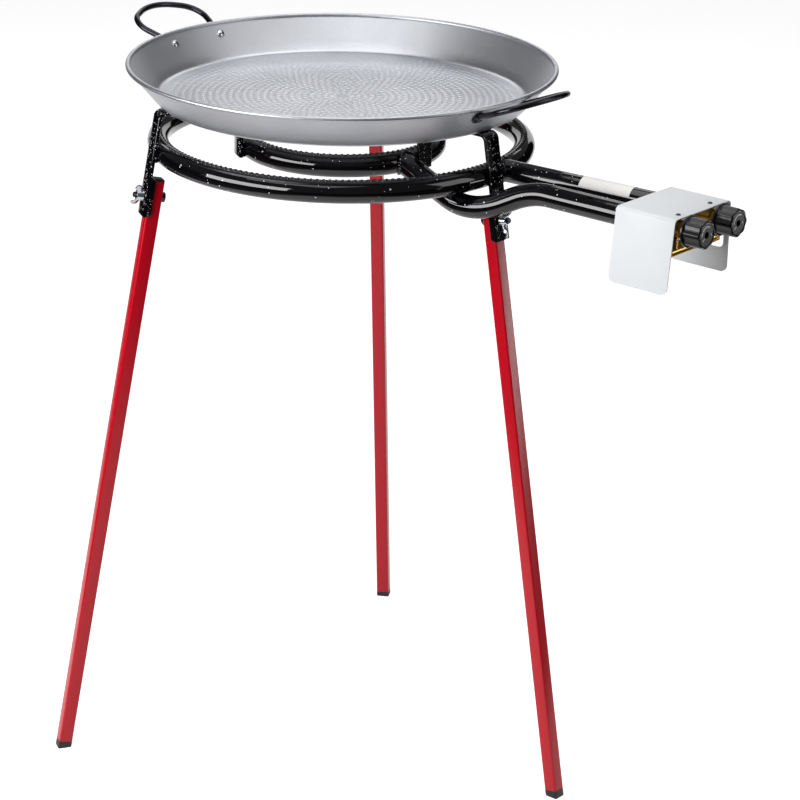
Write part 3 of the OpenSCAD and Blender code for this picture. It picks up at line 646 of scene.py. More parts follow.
def cheek(side):
    """Plate beside the leg of the support at azimuth 0."""
    bm = bmesh.new()
    outer_x = STRAP_X + STRAP_T - CHEEK_BACK
    inner_x = STRAP_X + STRAP_T - CHEEK_DEPTH
    middle = Vector((
        (outer_x + inner_x) / 2, side * (SUPPORT_W / 2 - CHEEK_T - CHEEK_IN),
        -(SOCKET_DROP + CHEEK_DROP) / 2,
    ))
    place = placed(middle, (0, side, 0), (0, 0, 1))
    outline = square_loop(
        bm, outer_x - inner_x, SOCKET_DROP - CHEEK_DROP, CHEEK_R, place, segments=6,
    )
    far = prism(bm, outline, Vector((0, side * CHEEK_T, 0)))
    softened(bm, far, CHEEK_ROUND)
    return moved(bm, leg_place(0))


def bolt_hole():
    bm = bmesh.new()
    place = leg_place(0) @ along_x((STRAP_X - CUT_PAST, 0, BOLT_Z))
    hole = circle_loop(bm, BOLT_HOLE_R, sides=24, place=place)
    prism(bm, hole, leg_place(0).to_3x3() @ Vector((STRAP_T + 2 * CUT_PAST, 0, 0)))
    return bm


for leg, az in LEG_AZ.items():
    support = combined(strap(), joined=[cheek(-1), cheek(1)], cut=[bolt_hole()])
    moved(support, about_z(az))
    piece(
        f"{leg}_support_strap", support, SPECKLED, "stand", [f"pan_support_{leg}"],
    )

# Welds, run over with enamel
WELD_R = 2.2 * MM
WELD_SMOOTH = math.radians(80)
LUMP_GAP_MM = 4
LUMP_H = 0.7 * MM
SADDLE_POINTS = 60
SADDLE_STEP = 0.2 * MM
BEAD_POINTS = 13
# A straight bead stops short of the strap's edges
BEAD_INSET = 1.5 * MM
# How far a bead's middle lies inside the tube's outer side, and above or below its middle
OUTER_BEAD_IN, OUTER_BEAD_Z = 1.4 * MM, 6.5 * MM
INNER_BEAD_IN, INNER_BEAD_Z = 1.2 * MM, 5.5 * MM


def weld(points, closed=False):
    """Lumpy bead along a row of points."""
    data = bpy.data.curves.new("bead", "CURVE")
    data.dimensions = "3D"
    data.bevel_depth = WELD_R
    data.bevel_resolution = 3
    data.use_fill_caps = True
    line = data.splines.new("POLY")
    line.points.add(len(points) - 1)
    for spot, point in zip(line.points, points):
        spot.co = (*point, 1)
    line.use_cyclic_u = closed
    obj = in_scene("bead", data)
    graph = bpy.context.evaluated_depsgraph_get()
    mesh = bpy.data.meshes.new_from_object(obj.evaluated_get(graph))
    bpy.data.objects.remove(obj)
    bpy.data.curves.remove(data)
    bm = bmesh.new()
    bm.from_mesh(mesh)
    bpy.data.meshes.remove(mesh)
    merge(bm)
    bmesh.ops.recalc_face_normals(bm, faces=bm.faces)
    for vert in bm.verts:
        lump = noise.noise(vert.co * per_metre(LUMP_GAP_MM)) * LUMP_H
        vert.co += vert.normal * lump
    return bm


def saddle(path, ring_r):
    """Line where an inlet tube meets its ring."""
    start = path[0]
    heading = (path[1] - start).normalized()
    place = placed(start, heading, UP)
    points = []
    for i in range(SADDLE_POINTS):
        a = math.tau * i / SADDLE_POINTS
        across = place.to_3x3() @ Vector((math.cos(a), math.sin(a), 0)) * TUBE_R
        reach = 0.0
        # Steps out along the inlet until the point leaves the ring's tube
        while True:
            point = start + across + heading * reach
            off = math.hypot(math.hypot(point.x, point.y) - ring_r, point.z - RING_Z)
            if off >= TUBE_R or reach > 2 * TUBE_R:
                break
            reach += SADDLE_STEP
        points.append(point)
    return points


beads = weld(saddle(OUTER_PATH, OUTER_R), closed=True)
added(beads, weld(saddle(INNER_PATH, INNER_R), closed=True))
for az in LEG_AZ.values():
    turn = about_z(az)
    half = SUPPORT_W / 2 - BEAD_INSET
    outer_x = STRAP_X - OUTER_BEAD_IN
    inner_x = INNER_R + TUBE_R - INNER_BEAD_IN
    spots = [leg_place(0) @ Vector((outer_x, 0, side * OUTER_BEAD_Z)) for side in (1, -1)]
    spots += [Vector((inner_x, 0, RING_Z + side * INNER_BEAD_Z)) for side in (1, -1)]
    for spot in spots:
        shares = [2 * k / (BEAD_POINTS - 1) - 1 for k in range(BEAD_POINTS)]
        added(beads, weld([turn @ (spot + Vector((0, half * share, 0))) for share in shares]))
piece("weld_beads", beads, SPECKLED, "stand", smooth=WELD_SMOOTH)

# Legs, with their feet, caps and bolts
LEG_WALL = 1.5 * MM
LEG_CORNER = 2 * MM
LEG_FLOOR = -(RING_Z + LEG_X * math.sin(SPLAY)) / math.cos(SPLAY)
LEG_BORE = LEG_W - 2 * LEG_WALL
SPIGOT_GAP = 0.1 * MM
SPIGOT_W = LEG_BORE - 2 * SPIGOT_GAP
SPIGOT_CORNER = 0.8 * MM
FOOT_H = 8 * MM
FOOT_SPIGOT_L = 18 * MM
FOOT_ROUND = 0.7 * MM
# Extra length of the sole before it is cut level
SOLE_EXTRA = 4 * MM
CAP_T = 2 * MM
CAP_SPIGOT_L = 9 * MM
CAP_DOME_H = 1.1 * MM
# Steps up the dome, and how far each one draws in
CAP_DOME = ((0.6 * MM, 0.96), (0.35 * MM, 0.86), (0.15 * MM, 0.6))


def on_leg(z):
    """Place on the leg's middle line."""
    return Matrix.Translation((LEG_X, 0, z))


def leg_tube():
    bm = bmesh.new()
    low = on_leg(LEG_FLOOR + FOOT_H)
    rise = Vector((0, 0, LEG_TOP - LEG_FLOOR - FOOT_H))
    outer = square_loop(bm, LEG_W, LEG_W, LEG_CORNER, low, segments=5)
    inner = square_loop(bm, LEG_BORE, LEG_BORE, LEG_CORNER - LEG_WALL, low, segments=5)
    outer_top = pushed(bm, outer, rise)
    inner_top = pushed(bm, inner, rise)
    bridge(bm, outer, inner)
    bridge(bm, outer_top, inner_top)
    return bm


def leg_foot():
    """Plug with a sole that is cut level with the floor."""
    bm = bmesh.new()
    top = LEG_FLOOR + FOOT_H
    end = on_leg(top + FOOT_SPIGOT_L)
    head = square_loop(bm, SPIGOT_W, SPIGOT_W, SPIGOT_CORNER, end, segments=3)
    neck = pushed(bm, head, -UP * FOOT_SPIGOT_L)
    collar = square_loop(bm, LEG_W, LEG_W, LEG_CORNER, on_leg(top), segments=3)
    bridge(bm, neck, collar)
    sole = pushed(bm, collar, -UP * (FOOT_H + SOLE_EXTRA))
    filled(bm, head, sole)
    normal = Matrix.Rotation(SPLAY, 3, "Y") @ UP
    cut = bmesh.ops.bisect_plane(
        bm, geom=bm.verts[:] + bm.edges[:] + bm.faces[:], dist=MERGE,
        plane_co=Vector((LEG_X, 0, LEG_FLOOR)), plane_no=normal, clear_inner=True,
    )
    rim = edges_in(cut["geom_cut"])
    filled(bm, rim)
    softened(bm, rim, FOOT_ROUND)
    return bm


def leg_cap():
    """Plug with a slightly domed head that closes the leg's top end."""
    bm = bmesh.new()
    end = on_leg(LEG_TOP - CAP_SPIGOT_L)
    low = square_loop(bm, SPIGOT_W, SPIGOT_W, SPIGOT_CORNER, end, segments=3)
    neck = pushed(bm, low, UP * CAP_SPIGOT_L)
    collar = square_loop(bm, LEG_W, LEG_W, LEG_CORNER, on_leg(LEG_TOP), segments=3)
    bridge(bm, neck, collar)
    shoulder = pushed(bm, collar, UP * (CAP_T - CAP_DOME_H))
    filled(bm, low, stepped(bm, shoulder, CAP_DOME))
    return bm


BOLT_R = 3 * MM
BOLT_HEAD_H = 4 * MM
BOLT_HEAD_W = 10 * MM
BOLT_HEAD_GAP = 0.1 * MM
# Height over which the head's corners are turned off
BOLT_HEAD_TURNED = 1 * MM
# The shank starts this far inside the head
SHANK_LAP = 1 * MM
BOLT_POINT = 0.6 * MM
BOLT_REACH = 11 * MM
BOLT_TIP_X = NUT_X + BOLT_REACH
THREAD_L = 18 * MM
THREAD_PITCH = 1 * MM
THREAD_DEPTH = 0.45 * MM


def bolt_head():
    """Hexagon head along Z, its flat face at zero and its turned end upwards."""
    radius = BOLT_HEAD_W / 2 / math.cos(math.pi / 6)
    past = radius + MM
    bm = bmesh.new()
    prism(bm, circle_loop(bm, radius, sides=6), UP * BOLT_HEAD_H)
    turned_off = turned(
        [(0, -MM), (past, -MM), (past, BOLT_HEAD_H - BOLT_HEAD_TURNED),
         (BOLT_HEAD_W / 2, BOLT_HEAD_H), (0, BOLT_HEAD_H)], 48,
    )
    return combined(bm, kept=[turned_off])


def leg_bolt():
    """Hexagon bolt along X: its head on the leg's inner face, its thread at the outer end."""
    seat = LEG_X - LEG_W / 2 - BOLT_HEAD_GAP
    flip = Matrix.Rotation(math.pi, 4, "X")
    head = moved(bolt_head(), Matrix.Translation((0, 0, seat)) @ flip)
    start = BOLT_TIP_X - THREAD_L
    profile = [(0, seat - SHANK_LAP), (BOLT_R, seat - SHANK_LAP), (BOLT_R, start)]
    for k in range(int(THREAD_L / THREAD_PITCH) - 1):
        foot = start + k * THREAD_PITCH
        profile.append((BOLT_R - THREAD_DEPTH, foot + 0.5 * THREAD_PITCH))
        profile.append((BOLT_R, foot + THREAD_PITCH))
    profile += [(BOLT_R - BOLT_POINT, BOLT_TIP_X), (0, BOLT_TIP_X)]
    return moved(combined(turned(profile, 24), joined=[head]), along_x((0, 0, BOLT_Z)))


NUT_BORE = BOLT_R + 0.05 * MM
NUT_BORE_TOP = NUT_BORE + 0.5 * MM
NUT_TURN = math.radians(62)
# Rise of the wings along the bolt for each step outwards
WING_SLOPE = 0.55
# Sections of a wing in millimetres: distance out, lift along the bolt, width and thickness
WING_ROWS = (
    (4.2, 4.2, 5.6, 4.4), (6.5, 5.2, 6.0, 3.4), (8.6, 6.6, 7.4, 2.8),
    (10.6, 7.8, 7.8, 2.6), (12.2, 8.6, 6.0, 2.3), (13.3, 9.1, 2.6, 1.4),
)


def oval_loop(bm, place, width, thick, sides):
    """Ellipse in millimetres, its width along X and its thickness along Y of its place."""
    return circle_loop(bm, MM, sides, place @ Matrix.Diagonal((width / 2, thick / 2, 1, 1)))


def wing_nut():
    """Cast wing nut along X: a tapered hub with two swept wings."""
    hub = turned(
        [(NUT_BORE, 0), (5.5 * MM, 0), (6 * MM, 0.6 * MM), (5.2 * MM, 7 * MM), (4.6 * MM, 8 * MM),
         (NUT_BORE_TOP, 8 * MM), (NUT_BORE, 7.5 * MM), (NUT_BORE, 0)], 32,
    )
    wings = []
    for side in (-1, 1):
        bm = bmesh.new()
        loops = []
        for out, lift, width, thick in WING_ROWS:
            place = placed((0, side * out * MM, lift * MM), (0, side, WING_SLOPE), (1, 0, 0))
            loops.append(oval_loop(bm, place, width, thick, 16))
        lofted(bm, loops)
        wings.append(bm)
    place = along_x((NUT_X, 0, BOLT_Z)) @ about_z(NUT_TURN)
    return moved(combined(hub, joined=wings), place)


for leg, az in LEG_AZ.items():
    for name, bm, finish, body, slot, node in (
        ("leg_tube", leg_tube(), RED_PAINT, "leg", "leg_paint", "leg"),
        ("foot_plug", leg_foot(), FOOT_PLASTIC, "leg", "foot_plastic", "leg_foot"),
        ("cap_plug", leg_cap(), FOOT_PLASTIC, "leg", "foot_plastic", "leg_cap"),
        ("bolt", leg_bolt(), BOLT_STEEL, "leg", "bolt_steel", "leg_bolt"),
        ("wing_nut_cast", wing_nut(), ZINC, "wing_nut", "zinc", "wing_nut"),
    ):
        moved(bm, leg_place(az))
        piece(f"{leg}_{name}", bm, finish, f"{leg}_{body}", [f"{node}_{leg}"])

# Pan: spun sheet with a dimpled base, a flared wall and a rolled rim
PAN_T = 1.2 * MM
FLAT_R = 193 * MM
CORNER_R = 8 * MM
BEAD_R = 2.5 * MM
# Angles from the wall to the start and to the lip of the rolled rim
ROLL_START = 0.35
ROLL_GAP = 0.9
# Shares of the rim's radius: where the wall meets it, and where its lip ends inside
WALL_MEETS = 0.9
LIP_INSIDE = 0.45
RIM_R = (PAN_HIGH.x - PAN_LOW.x) / 2
PAN_H = PAN_HIGH.z - PAN_LOW.z
BEAD = Vector((RIM_R - BEAD_R, PAN_H - BEAD_R))
TO_BEAD = BEAD - Vector((FLAT_R, CORNER_R + PAN_T))
WALL_A = math.atan2(TO_BEAD.y, TO_BEAD.x) + math.asin((CORNER_R + PAN_T / 2) / TO_BEAD.length)
PAN_STEPS = 600
# Ring that splits the underside, as a share of the flat's radius
UNDER_SPLIT = 0.6
DIMPLE_RINGS = 26
DIMPLE_PITCH = 7.2 * MM
DIMPLE_SEGMENTS = 4
DIMPLE_DEPTH = 0.6 * MM
# Dimples in a ring share out the pan's steps evenly
DIMPLE_COUNTS = [12, 15, 20, 24, 30, 40, 50, 60, 75, 100, 120, 150]


def arc(middle, radius, start, stop, steps):
    """Points on an arc of the pan's section."""
    angles = [start + (stop - start) * i / steps for i in range(steps + 1)]
    return [(middle[0] + radius * math.cos(a), middle[1] + radius * math.sin(a)) for a in angles]


def pan_dish():
    """Lathe shape from the middle of the inside, over the rim and back along the underside."""
    corner = (FLAT_R, CORNER_R + PAN_T)
    down = -math.pi / 2
    away = Vector((math.cos(WALL_A), math.sin(WALL_A)))
    inward = Vector((-away.y, away.x)) * (PAN_T / 2)
    bead_in = BEAD - away * BEAD_R * WALL_MEETS
    step = DIMPLE_PITCH / DIMPLE_SEGMENTS
    profile = [(step * k, PAN_T) for k in range(DIMPLE_RINGS * DIMPLE_SEGMENTS + 1)]
    profile += arc(corner, CORNER_R, down, down + WALL_A, 6)
    profile.append(tuple(bead_in + inward))
    # The rim rolls outwards and under, and its lip stops short of the wall
    back = WALL_A + math.pi
    profile += arc(BEAD, BEAD_R, back - ROLL_START, back + ROLL_GAP - math.tau, 16)
    profile += arc(BEAD, BEAD_R * LIP_INSIDE, back + ROLL_GAP, back + ROLL_GAP / 2, 1)
    profile.append(tuple(bead_in - inward))
    profile += arc(corner, CORNER_R + PAN_T, down + WALL_A, down, 6)
    profile += [(FLAT_R * UNDER_SPLIT, 0), (0, 0)]
    bm = turned(profile, PAN_STEPS, Matrix.Translation((0, 0, SEAT_Z)))
    floor_z = SEAT_Z + PAN_T
    for vert in bm.verts:
        radius = math.hypot(vert.co.x, vert.co.y)
        if abs(vert.co.z - floor_z) > MERGE or radius > DIMPLE_RINGS * DIMPLE_PITCH:
            continue
        ring = int((radius - MERGE) / DIMPLE_PITCH)
        # The innermost ring stays flat
        if ring == 0:
            continue
        across = radius / DIMPLE_PITCH - ring
        wanted = math.tau * (ring + 0.5)
        count = min(DIMPLE_COUNTS, key=lambda n: abs(n - wanted))
        along = math.atan2(vert.co.y, vert.co.x) / math.tau * count + 0.5 * (ring % 2)
        hollow = math.sin(math.pi * across) ** 2 * math.sin(math.pi * along) ** 2
        vert.co.z -= DIMPLE_DEPTH * hollow
    return bm


piece("pan_dish", pan_dish(), PAN_STEEL, "pan", ["paella_pan"])

# Pan handles and their rivets
ROD_R = 3.25 * MM
RIVET_H = 26 * MM
RIVET_PITCH = 71 * MM
KNEE_OUT = 54 * MM
KNEE_W = 104 * MM
PEAK_OUT = 27 * MM
ROD_BENDS = [26 * MM, 58 * MM, 26 * MM]
ROD_GAP = 0.1 * MM
HANDLE_TILT = math.radians(21)
TO_WALL = (CORNER_R + PAN_T / 2) * Vector((math.sin(WALL_A), -math.cos(WALL_A)))
WALL_START = Vector((FLAT_R, CORNER_R + PAN_T)) + TO_WALL
MIDDLE_R = WALL_START.x + (RIVET_H - WALL_START.y) / math.tan(WALL_A)
RIVET_R = MIDDLE_R + PAN_T / 2 / math.sin(WALL_A)
RIVET_TURN = math.asin(RIVET_PITCH / 2 / RIVET_R)
WALL_UP = Vector((math.cos(WALL_A), 0, math.sin(WALL_A)))
WALL_OUT = Vector((math.sin(WALL_A), 0, -math.cos(WALL_A)))
PAD_T = 3 * MM
PAD_GAP = 0.15 * MM
# Sections of a pad in millimetres: height up the wall from the rivet, width and thickness
PAD_ROWS = (
    (-7.2, 5, 1.6), (-6.6, 8, 2.6), (-4.8, 11.6, 3), (-2, 13.6, 3), (1.5, 13.4, 3), (4.6, 11, 3.6),
)
# The same along the rod, from its end
ROD_ROWS = ((-1.5, 8.6, 5.2), (1.5, 6.9, 6.4), (4, 6.5, 6.5))
# Outlines of the rivets in millimetres: radius and height
RIVET_BASE = [(0, -0.6), (4.75, -0.6)]
TAIL_DOME = [(4.75, 0), (4.6, 0.4), (3.8, 0.8), (2.2, 1.1), (0, 1.2)]
HEAD_DOME = [(4.75, 0), (4.7, 0.5), (4.2, 1.3), (3.2, 1.95), (1.8, 2.3), (0, 2.4)]
TAIL_GAP = 0.2 * MM
HANDLES = {"front": math.radians(-91), "back": math.radians(89)}
# The rod starts where it has come clear of the wall
ROD_START = (ROD_R + ROD_GAP) / math.sin(WALL_A - HANDLE_TILT)


def handle_rod():
    """Rod bent to a bow with two knees and a broad peak, before it is turned to its place."""
    tilt = Matrix.Rotation(-HANDLE_TILT, 3, "Y")
    base = Vector((RIVET_R * math.cos(RIVET_TURN), 0, SEAT_Z + RIVET_H))
    spread = ROD_START * (KNEE_W - RIVET_PITCH) / 2 / KNEE_OUT
    half = [(ROD_START, RIVET_PITCH / 2 + spread), (KNEE_OUT, KNEE_W / 2)]
    other = [(out, -along) for out, along in reversed(half)]
    flat = half + [(KNEE_OUT + PEAK_OUT, 0)] + other
    path = [base + tilt @ Vector((out, along, 0)) for out, along in flat]
    bm = bmesh.new()
    section = circle_loop(bm, ROD_R, 20, placed(path[0], path[1] - path[0], UP))
    end = swept(bm, section, path, ROD_BENDS, steps=14)
    filled(bm, section, end)
    return bm, path


def handle_pad(side, rod_end, rod_heading):
    """End of the rod, beaten flat against the pan's wall."""
    spin = about_z(side * RIVET_TURN)
    up, out = spin @ WALL_UP, spin @ WALL_OUT
    middle = spin @ Vector((RIVET_R, 0, SEAT_Z + RIVET_H)) + out * (PAD_T / 2 + PAD_GAP)
    bm = bmesh.new()
    loops = []
    for start, heading, rows in ((middle, up, PAD_ROWS), (rod_end, rod_heading, ROD_ROWS)):
        for along, width, thick in rows:
            place = placed(start + heading * along * MM, heading, out)
            loops.append(oval_loop(bm, place, width, thick, 20))
    lofted(bm, loops)
    return bm


def rivet(side, az, outside):
    """Domed head on the outside or the inside of the pan's wall."""
    spin = about_z(az + side * RIVET_TURN)
    at = spin @ Vector((RIVET_R, 0, SEAT_Z + RIVET_H))
    out = spin @ WALL_OUT
    if outside:
        dome = TAIL_DOME
        place = placed(at + out * (PAD_T + TAIL_GAP), out, UP)
    else:
        dome = HEAD_DOME
        place = placed(at - out * PAN_T, -out, UP)
    return turned([(r * MM, h * MM) for r, h in RIVET_BASE + dome], 28, place)


inside_rivets = bmesh.new()
outside_rivets = bmesh.new()
for end, az in HANDLES.items():
    rod, path = handle_rod()
    pads = [
        handle_pad(1, path[0], (path[1] - path[0]).normalized()),
        handle_pad(-1, path[-1], (path[-2] - path[-1]).normalized()),
    ]
    handle = moved(combined(rod, joined=pads), about_z(az))
    piece(f"{end}_pan_handle", handle, HANDLE_STEEL, "pan", [f"pan_handle_{end}"])
    for side in (-1, 1):
        added(inside_rivets, rivet(side, az, False))
        added(outside_rivets, rivet(side, az, True))
piece("pan_rivet_heads", inside_rivets, RIVET_STEEL, "pan", ["pan_rivets"])
piece("pan_rivet_tails", outside_rivets, HANDLE_STEEL, "pan")

# Control shield: one white sheet folded over the tube ends
SHEET_T = 1.2 * MM
SHEET_ROUND = 0.45 * MM
FOLD_R = 4 * MM
FLAP_CORNER = 8 * MM
FLAP_LEAN = 9 * MM
SHIELD_W = 97 * MM
SHIELD_MID = (SHIELD_LOW + SHIELD_HIGH) / 2
SHIELD_SIZE = SHIELD_HIGH - SHIELD_LOW
PIPE_LOW, PIPE_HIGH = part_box("gas_manifold")
WINDOW_Y = -438 * MM
WINDOW_W = 24 * MM
WINDOW_H = 28 * MM
WINDOW_R = 6 * MM
# Room under the sheet for the leaning flap's tipped edge
FLAP_TRIM = 0.1 * MM
# How far the shapes that trim and cut the sheet reach past it
TRIM_PAST = 5 * MM
TRIM_ABOVE = 40 * MM
TRIM_WIDER = 0.2 * MM


def shield_sheet():
    """Folded sheet with rounded flaps and the hose tail's window."""
    half = SHEET_T / 2
    x1 = SHIELD_HIGH.x - half
    x0 = x1 - SHIELD_W + SHEET_T
    low = SHIELD_LOW.z + FLAP_TRIM
    top = SHIELD_HIGH.z - half
    y = SHIELD_MID.y
    path = [
        Vector((x0 - FLAP_LEAN, y, low)), Vector((x0, y, top)),
        Vector((x1, y, top)), Vector((x1, y, low)),
    ]
    bm = bmesh.new()
    place = placed(path[0], path[1] - path[0], (0, 1, 0))
    section = square_loop(bm, SHEET_T, SHIELD_SIZE.y, SHEET_ROUND, place, segments=2)
    end = swept(bm, section, path, [FOLD_R, FOLD_R], steps=8)
    filled(bm, section, end)
    envelope = bmesh.new()
    rise = SHIELD_SIZE.z + TRIM_ABOVE
    place = along_x((SHIELD_LOW.x - TRIM_PAST, y, low + rise / 2))
    outline = square_loop(
        envelope, rise, SHIELD_SIZE.y + TRIM_WIDER, FLAP_CORNER, place, segments=10,
    )
    prism(envelope, outline, Vector((SHIELD_SIZE.x + 2 * TRIM_PAST, 0, 0)))
    window = bmesh.new()
    pipe_z = (PIPE_LOW.z + PIPE_HIGH.z) / 2
    place = along_x((SHIELD_HIGH.x - TRIM_PAST, WINDOW_Y, pipe_z))
    opening = square_loop(window, WINDOW_H, WINDOW_W, WINDOW_R, place, segments=8)
    prism(window, opening, Vector((2 * TRIM_PAST, 0, 0)))
    return combined(bm, kept=[envelope], cut=[window])


piece(
    "control_shield_sheet", shield_sheet(), WHITE_COAT, "stand",
    ["control_shield"],
)

SCREW_Y = -447.5 * MM
# Outline of a screw head in millimetres: radius and height
SCREW_ROWS = (
    (0, -0.3), (2.5, -0.3), (2.5, 0.35), (2.25, 0.9), (1.6, 1.25), (0.8, 1.38), (0, 1.4),
)
CROSS_L = 2.6 * MM
CROSS_W = 0.6 * MM
CROSS_H = 2 * MM
CROSS_Z = 1.6 * MM


def shield_screw(x):
    """Pan-head screw with a cross recess."""
    head = turned([(r * MM, h * MM) for r, h in SCREW_ROWS], 28)
    slots = []
    for size in ((CROSS_L, CROSS_W, CROSS_H), (CROSS_W, CROSS_L, CROSS_H)):
        slot = bmesh.new()
        place = Matrix.LocRotScale(UP * CROSS_Z, None, Vector(size))
        bmesh.ops.create_cube(slot, matrix=place)
        slots.append(slot)
    bm = combined(head, cut=slots)
    return moved(bm, Matrix.Translation((x, SCREW_Y, SHIELD_HIGH.z)))


screws = shield_screw(TAP_X[0])
added(screws, shield_screw(TAP_X[1]))
piece("shield_screw_heads", screws, SCREW_BLACK, "stand", ["shield_screws"])

# Knobs
KNOB_FLUTES = 8
FLUTE_DEPTH = 1.1 * MM
# Half a flute's width, as a share of the pitch
FLUTE_HALF = 0.34
KNOB_R = 15 * MM
SKIRT_R = 16.5 * MM
SKIRT_T = 2.5 * MM
SKIRT_ROUND = 0.4 * MM
ROOT_FILLET = 0.7 * MM
KNOB_L = 22 * MM
FACE_R = 11.6 * MM
KNOB_SIDES = 160
# Steps that round the grip's end off, and that sink its face: rise and how far each draws in
GRIP_END = ((1.0 * MM, 0.975), (0.7 * MM, 0.955), (0.3 * MM, 0.95))
GRIP_END_L = 2.2 * MM
GRIP_TAPER = 0.985
FACE_STEPS = ((-0.35 * MM, 0.98), (-0.35 * MM, 0.985))
HOLE_MOUTH_R = 3.6 * MM
HOLE_R = 3.2 * MM
HOLE_CHAMFER = 0.4 * MM
HOLE_DEPTH = 5 * MM
MARK_DEPTH = 0.72 * MM
MARK_T = 0.12 * MM
MARK_CORNER = 0.02 * MM
# Marks on the face: radius and width in millimetres, start and sweep in degrees
MARKS = ((8.6, 1.5, 62, 118), (7.6, 1.3, 206, 18), (5.4, 1.1, 212, 16), (7.4, 1.3, -14, 18))


def fluted(edges):
    """Presses broad, shallow finger flutes into a round loop."""
    for vert in {vert for edge in edges for vert in edge.verts}:
        turn = math.atan2(vert.co.y, vert.co.x) / math.tau * KNOB_FLUTES
        off = turn - math.floor(turn) - 0.5
        dip = max(0, 1 - (off / FLUTE_HALF) ** 2)
        radius = math.hypot(vert.co.x, vert.co.y)
        share = (radius - FLUTE_DEPTH * dip) / radius
        vert.co.x *= share
        vert.co.y *= share


def drawn_in(bm, edge, radius):
    """Flat step from a loop to a circle."""
    inner = pushed(bm, edge, Vector())
    for vert in {vert for e in inner for vert in e.verts}:
        vert.co.x, vert.co.y = Vector(vert.co.xy).normalized() * radius
    return inner


def knob_body():
    """Knob along Z: skirt, fluted grip, and a face with a raised rim and a spindle hole."""
    bm = bmesh.new()
    back_r = SKIRT_R - SKIRT_ROUND
    root_r = KNOB_R + ROOT_FILLET
    back = circle_loop(bm, back_r, KNOB_SIDES)
    root = stepped(bm, back, (
        (SKIRT_ROUND, SKIRT_R / back_r), (SKIRT_T - 2 * SKIRT_ROUND, 1),
        (SKIRT_ROUND, back_r / SKIRT_R), (0, root_r / back_r), (ROOT_FILLET, KNOB_R / root_r),
    ))
    fluted(root)
    grip_l = KNOB_L - SKIRT_T - ROOT_FILLET - GRIP_END_L
    edge = stepped(bm, root, ((grip_l, GRIP_TAPER),) + GRIP_END)
    edge = stepped(bm, drawn_in(bm, edge, FACE_R), FACE_STEPS)
    mouth = drawn_in(bm, edge, HOLE_MOUTH_R)
    floor = stepped(bm, mouth, ((-HOLE_CHAMFER, HOLE_R / HOLE_MOUTH_R), (-HOLE_DEPTH, 1)))
    filled(bm, back, floor)
    return bm


def knob_marks():
    """Painted marks on the knob's face: a long arc, two bars past its end, one before its start."""
    bm = bmesh.new()
    for radius, width, start, sweep in MARKS:
        place = (
            about_z(math.radians(start))
            @ Matrix.Translation((radius * MM, 0, KNOB_L - MARK_DEPTH))
            @ Matrix.Rotation(math.pi / 2, 4, "X")
        )
        stroke = square_loop(bm, width * MM, MARK_T, MARK_CORNER, place, segments=1)
        spun = spun_round(bm, stroke, math.radians(sweep), max(4, sweep // 4))
        filled(bm, stroke, edges_in(spun["geom_last"]))
    return bm


for ring, x in zip(("inner", "outer"), TAP_X):
    low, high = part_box("knob_" + ring)
    place = placed((x, high.y, (low.z + high.z) / 2), (0, -1, 0), UP)
    for name, bm, finish, nodes in (
        ("grip", knob_body(), BLACK_PLASTIC, ["knob_" + ring]),
        ("marks", knob_marks(), MARK_PAINT, []),
    ):
        moved(bm, place)
        piece(f"{ring}_knob_{name}", bm, finish, f"{ring}_knob", nodes)

# Brass gas fittings and their spindles keep their CAD shapes
FITTINGS = ["gas_manifold", "manifold_plug", "hose_tail"]
for kind in ("tap_body", "gland_nut", "injector", "tap_spindle"):
    FITTINGS += [f"{kind}_inner", f"{kind}_outer"]
for node in FITTINGS:
    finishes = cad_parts[node].data.materials
    finishes.clear()
    finishes.append(SPINDLE_STEEL if "spindle" in node else BRASS)

# Camera at the photograph's viewpoint
VIEW_TURN = math.radians(-48.7)
CAMERA_AT = (-0.0204, -3.0117, 1.5112)
CAMERA_PAN = -0.0296
CAMERA_TILT = -0.3596
CAMERA_ROLL = 0.0212
camera = in_scene("camera", bpy.data.cameras.new("camera"))
camera.data.sensor_width = 36
camera.data.sensor_fit = "HORIZONTAL"
camera.data.lens = 130.5
camera.matrix_world = (
    about_z(VIEW_TURN)
    @ Matrix.Translation(CAMERA_AT)
    @ about_z(CAMERA_PAN)
    @ Matrix.Rotation(math.pi / 2 + CAMERA_TILT, 4, "X")
    @ about_z(CAMERA_ROLL)
)
bpy.context.scene.camera = camera
bpy.context.scene.view_settings.view_transform = "Standard"

# Stage, in metres: a paper floor with a painted pool of light on it, and a wall round the back
TO_CAMERA = about_z(VIEW_TURN) @ Vector((0, -1, 0))
ACROSS = about_z(VIEW_TURN) @ Vector((1, 0, 0))
LIT_POOL_FRONT, LIT_POOL_FRONT_END = 0.9, 1.4
LIT_POOL_HALF, LIT_POOL_HALF_END = 0.6, 0.9
# The painted pool of light widens with its distance behind the object
LIT_POOL_SPREAD = 0.33
# Painted reflection: the floor's glow, seen in reflections, brightens from the first distance to
# the second
GLOSS_NEAR, GLOSS_FAR = 1.0, 2.6
FLOOR_R = 9
BACKDROP_R = 6.5
BACKDROP_FRONT = 0.2
BACKDROP_H = 2.3
SKY_STRENGTH = 0.1


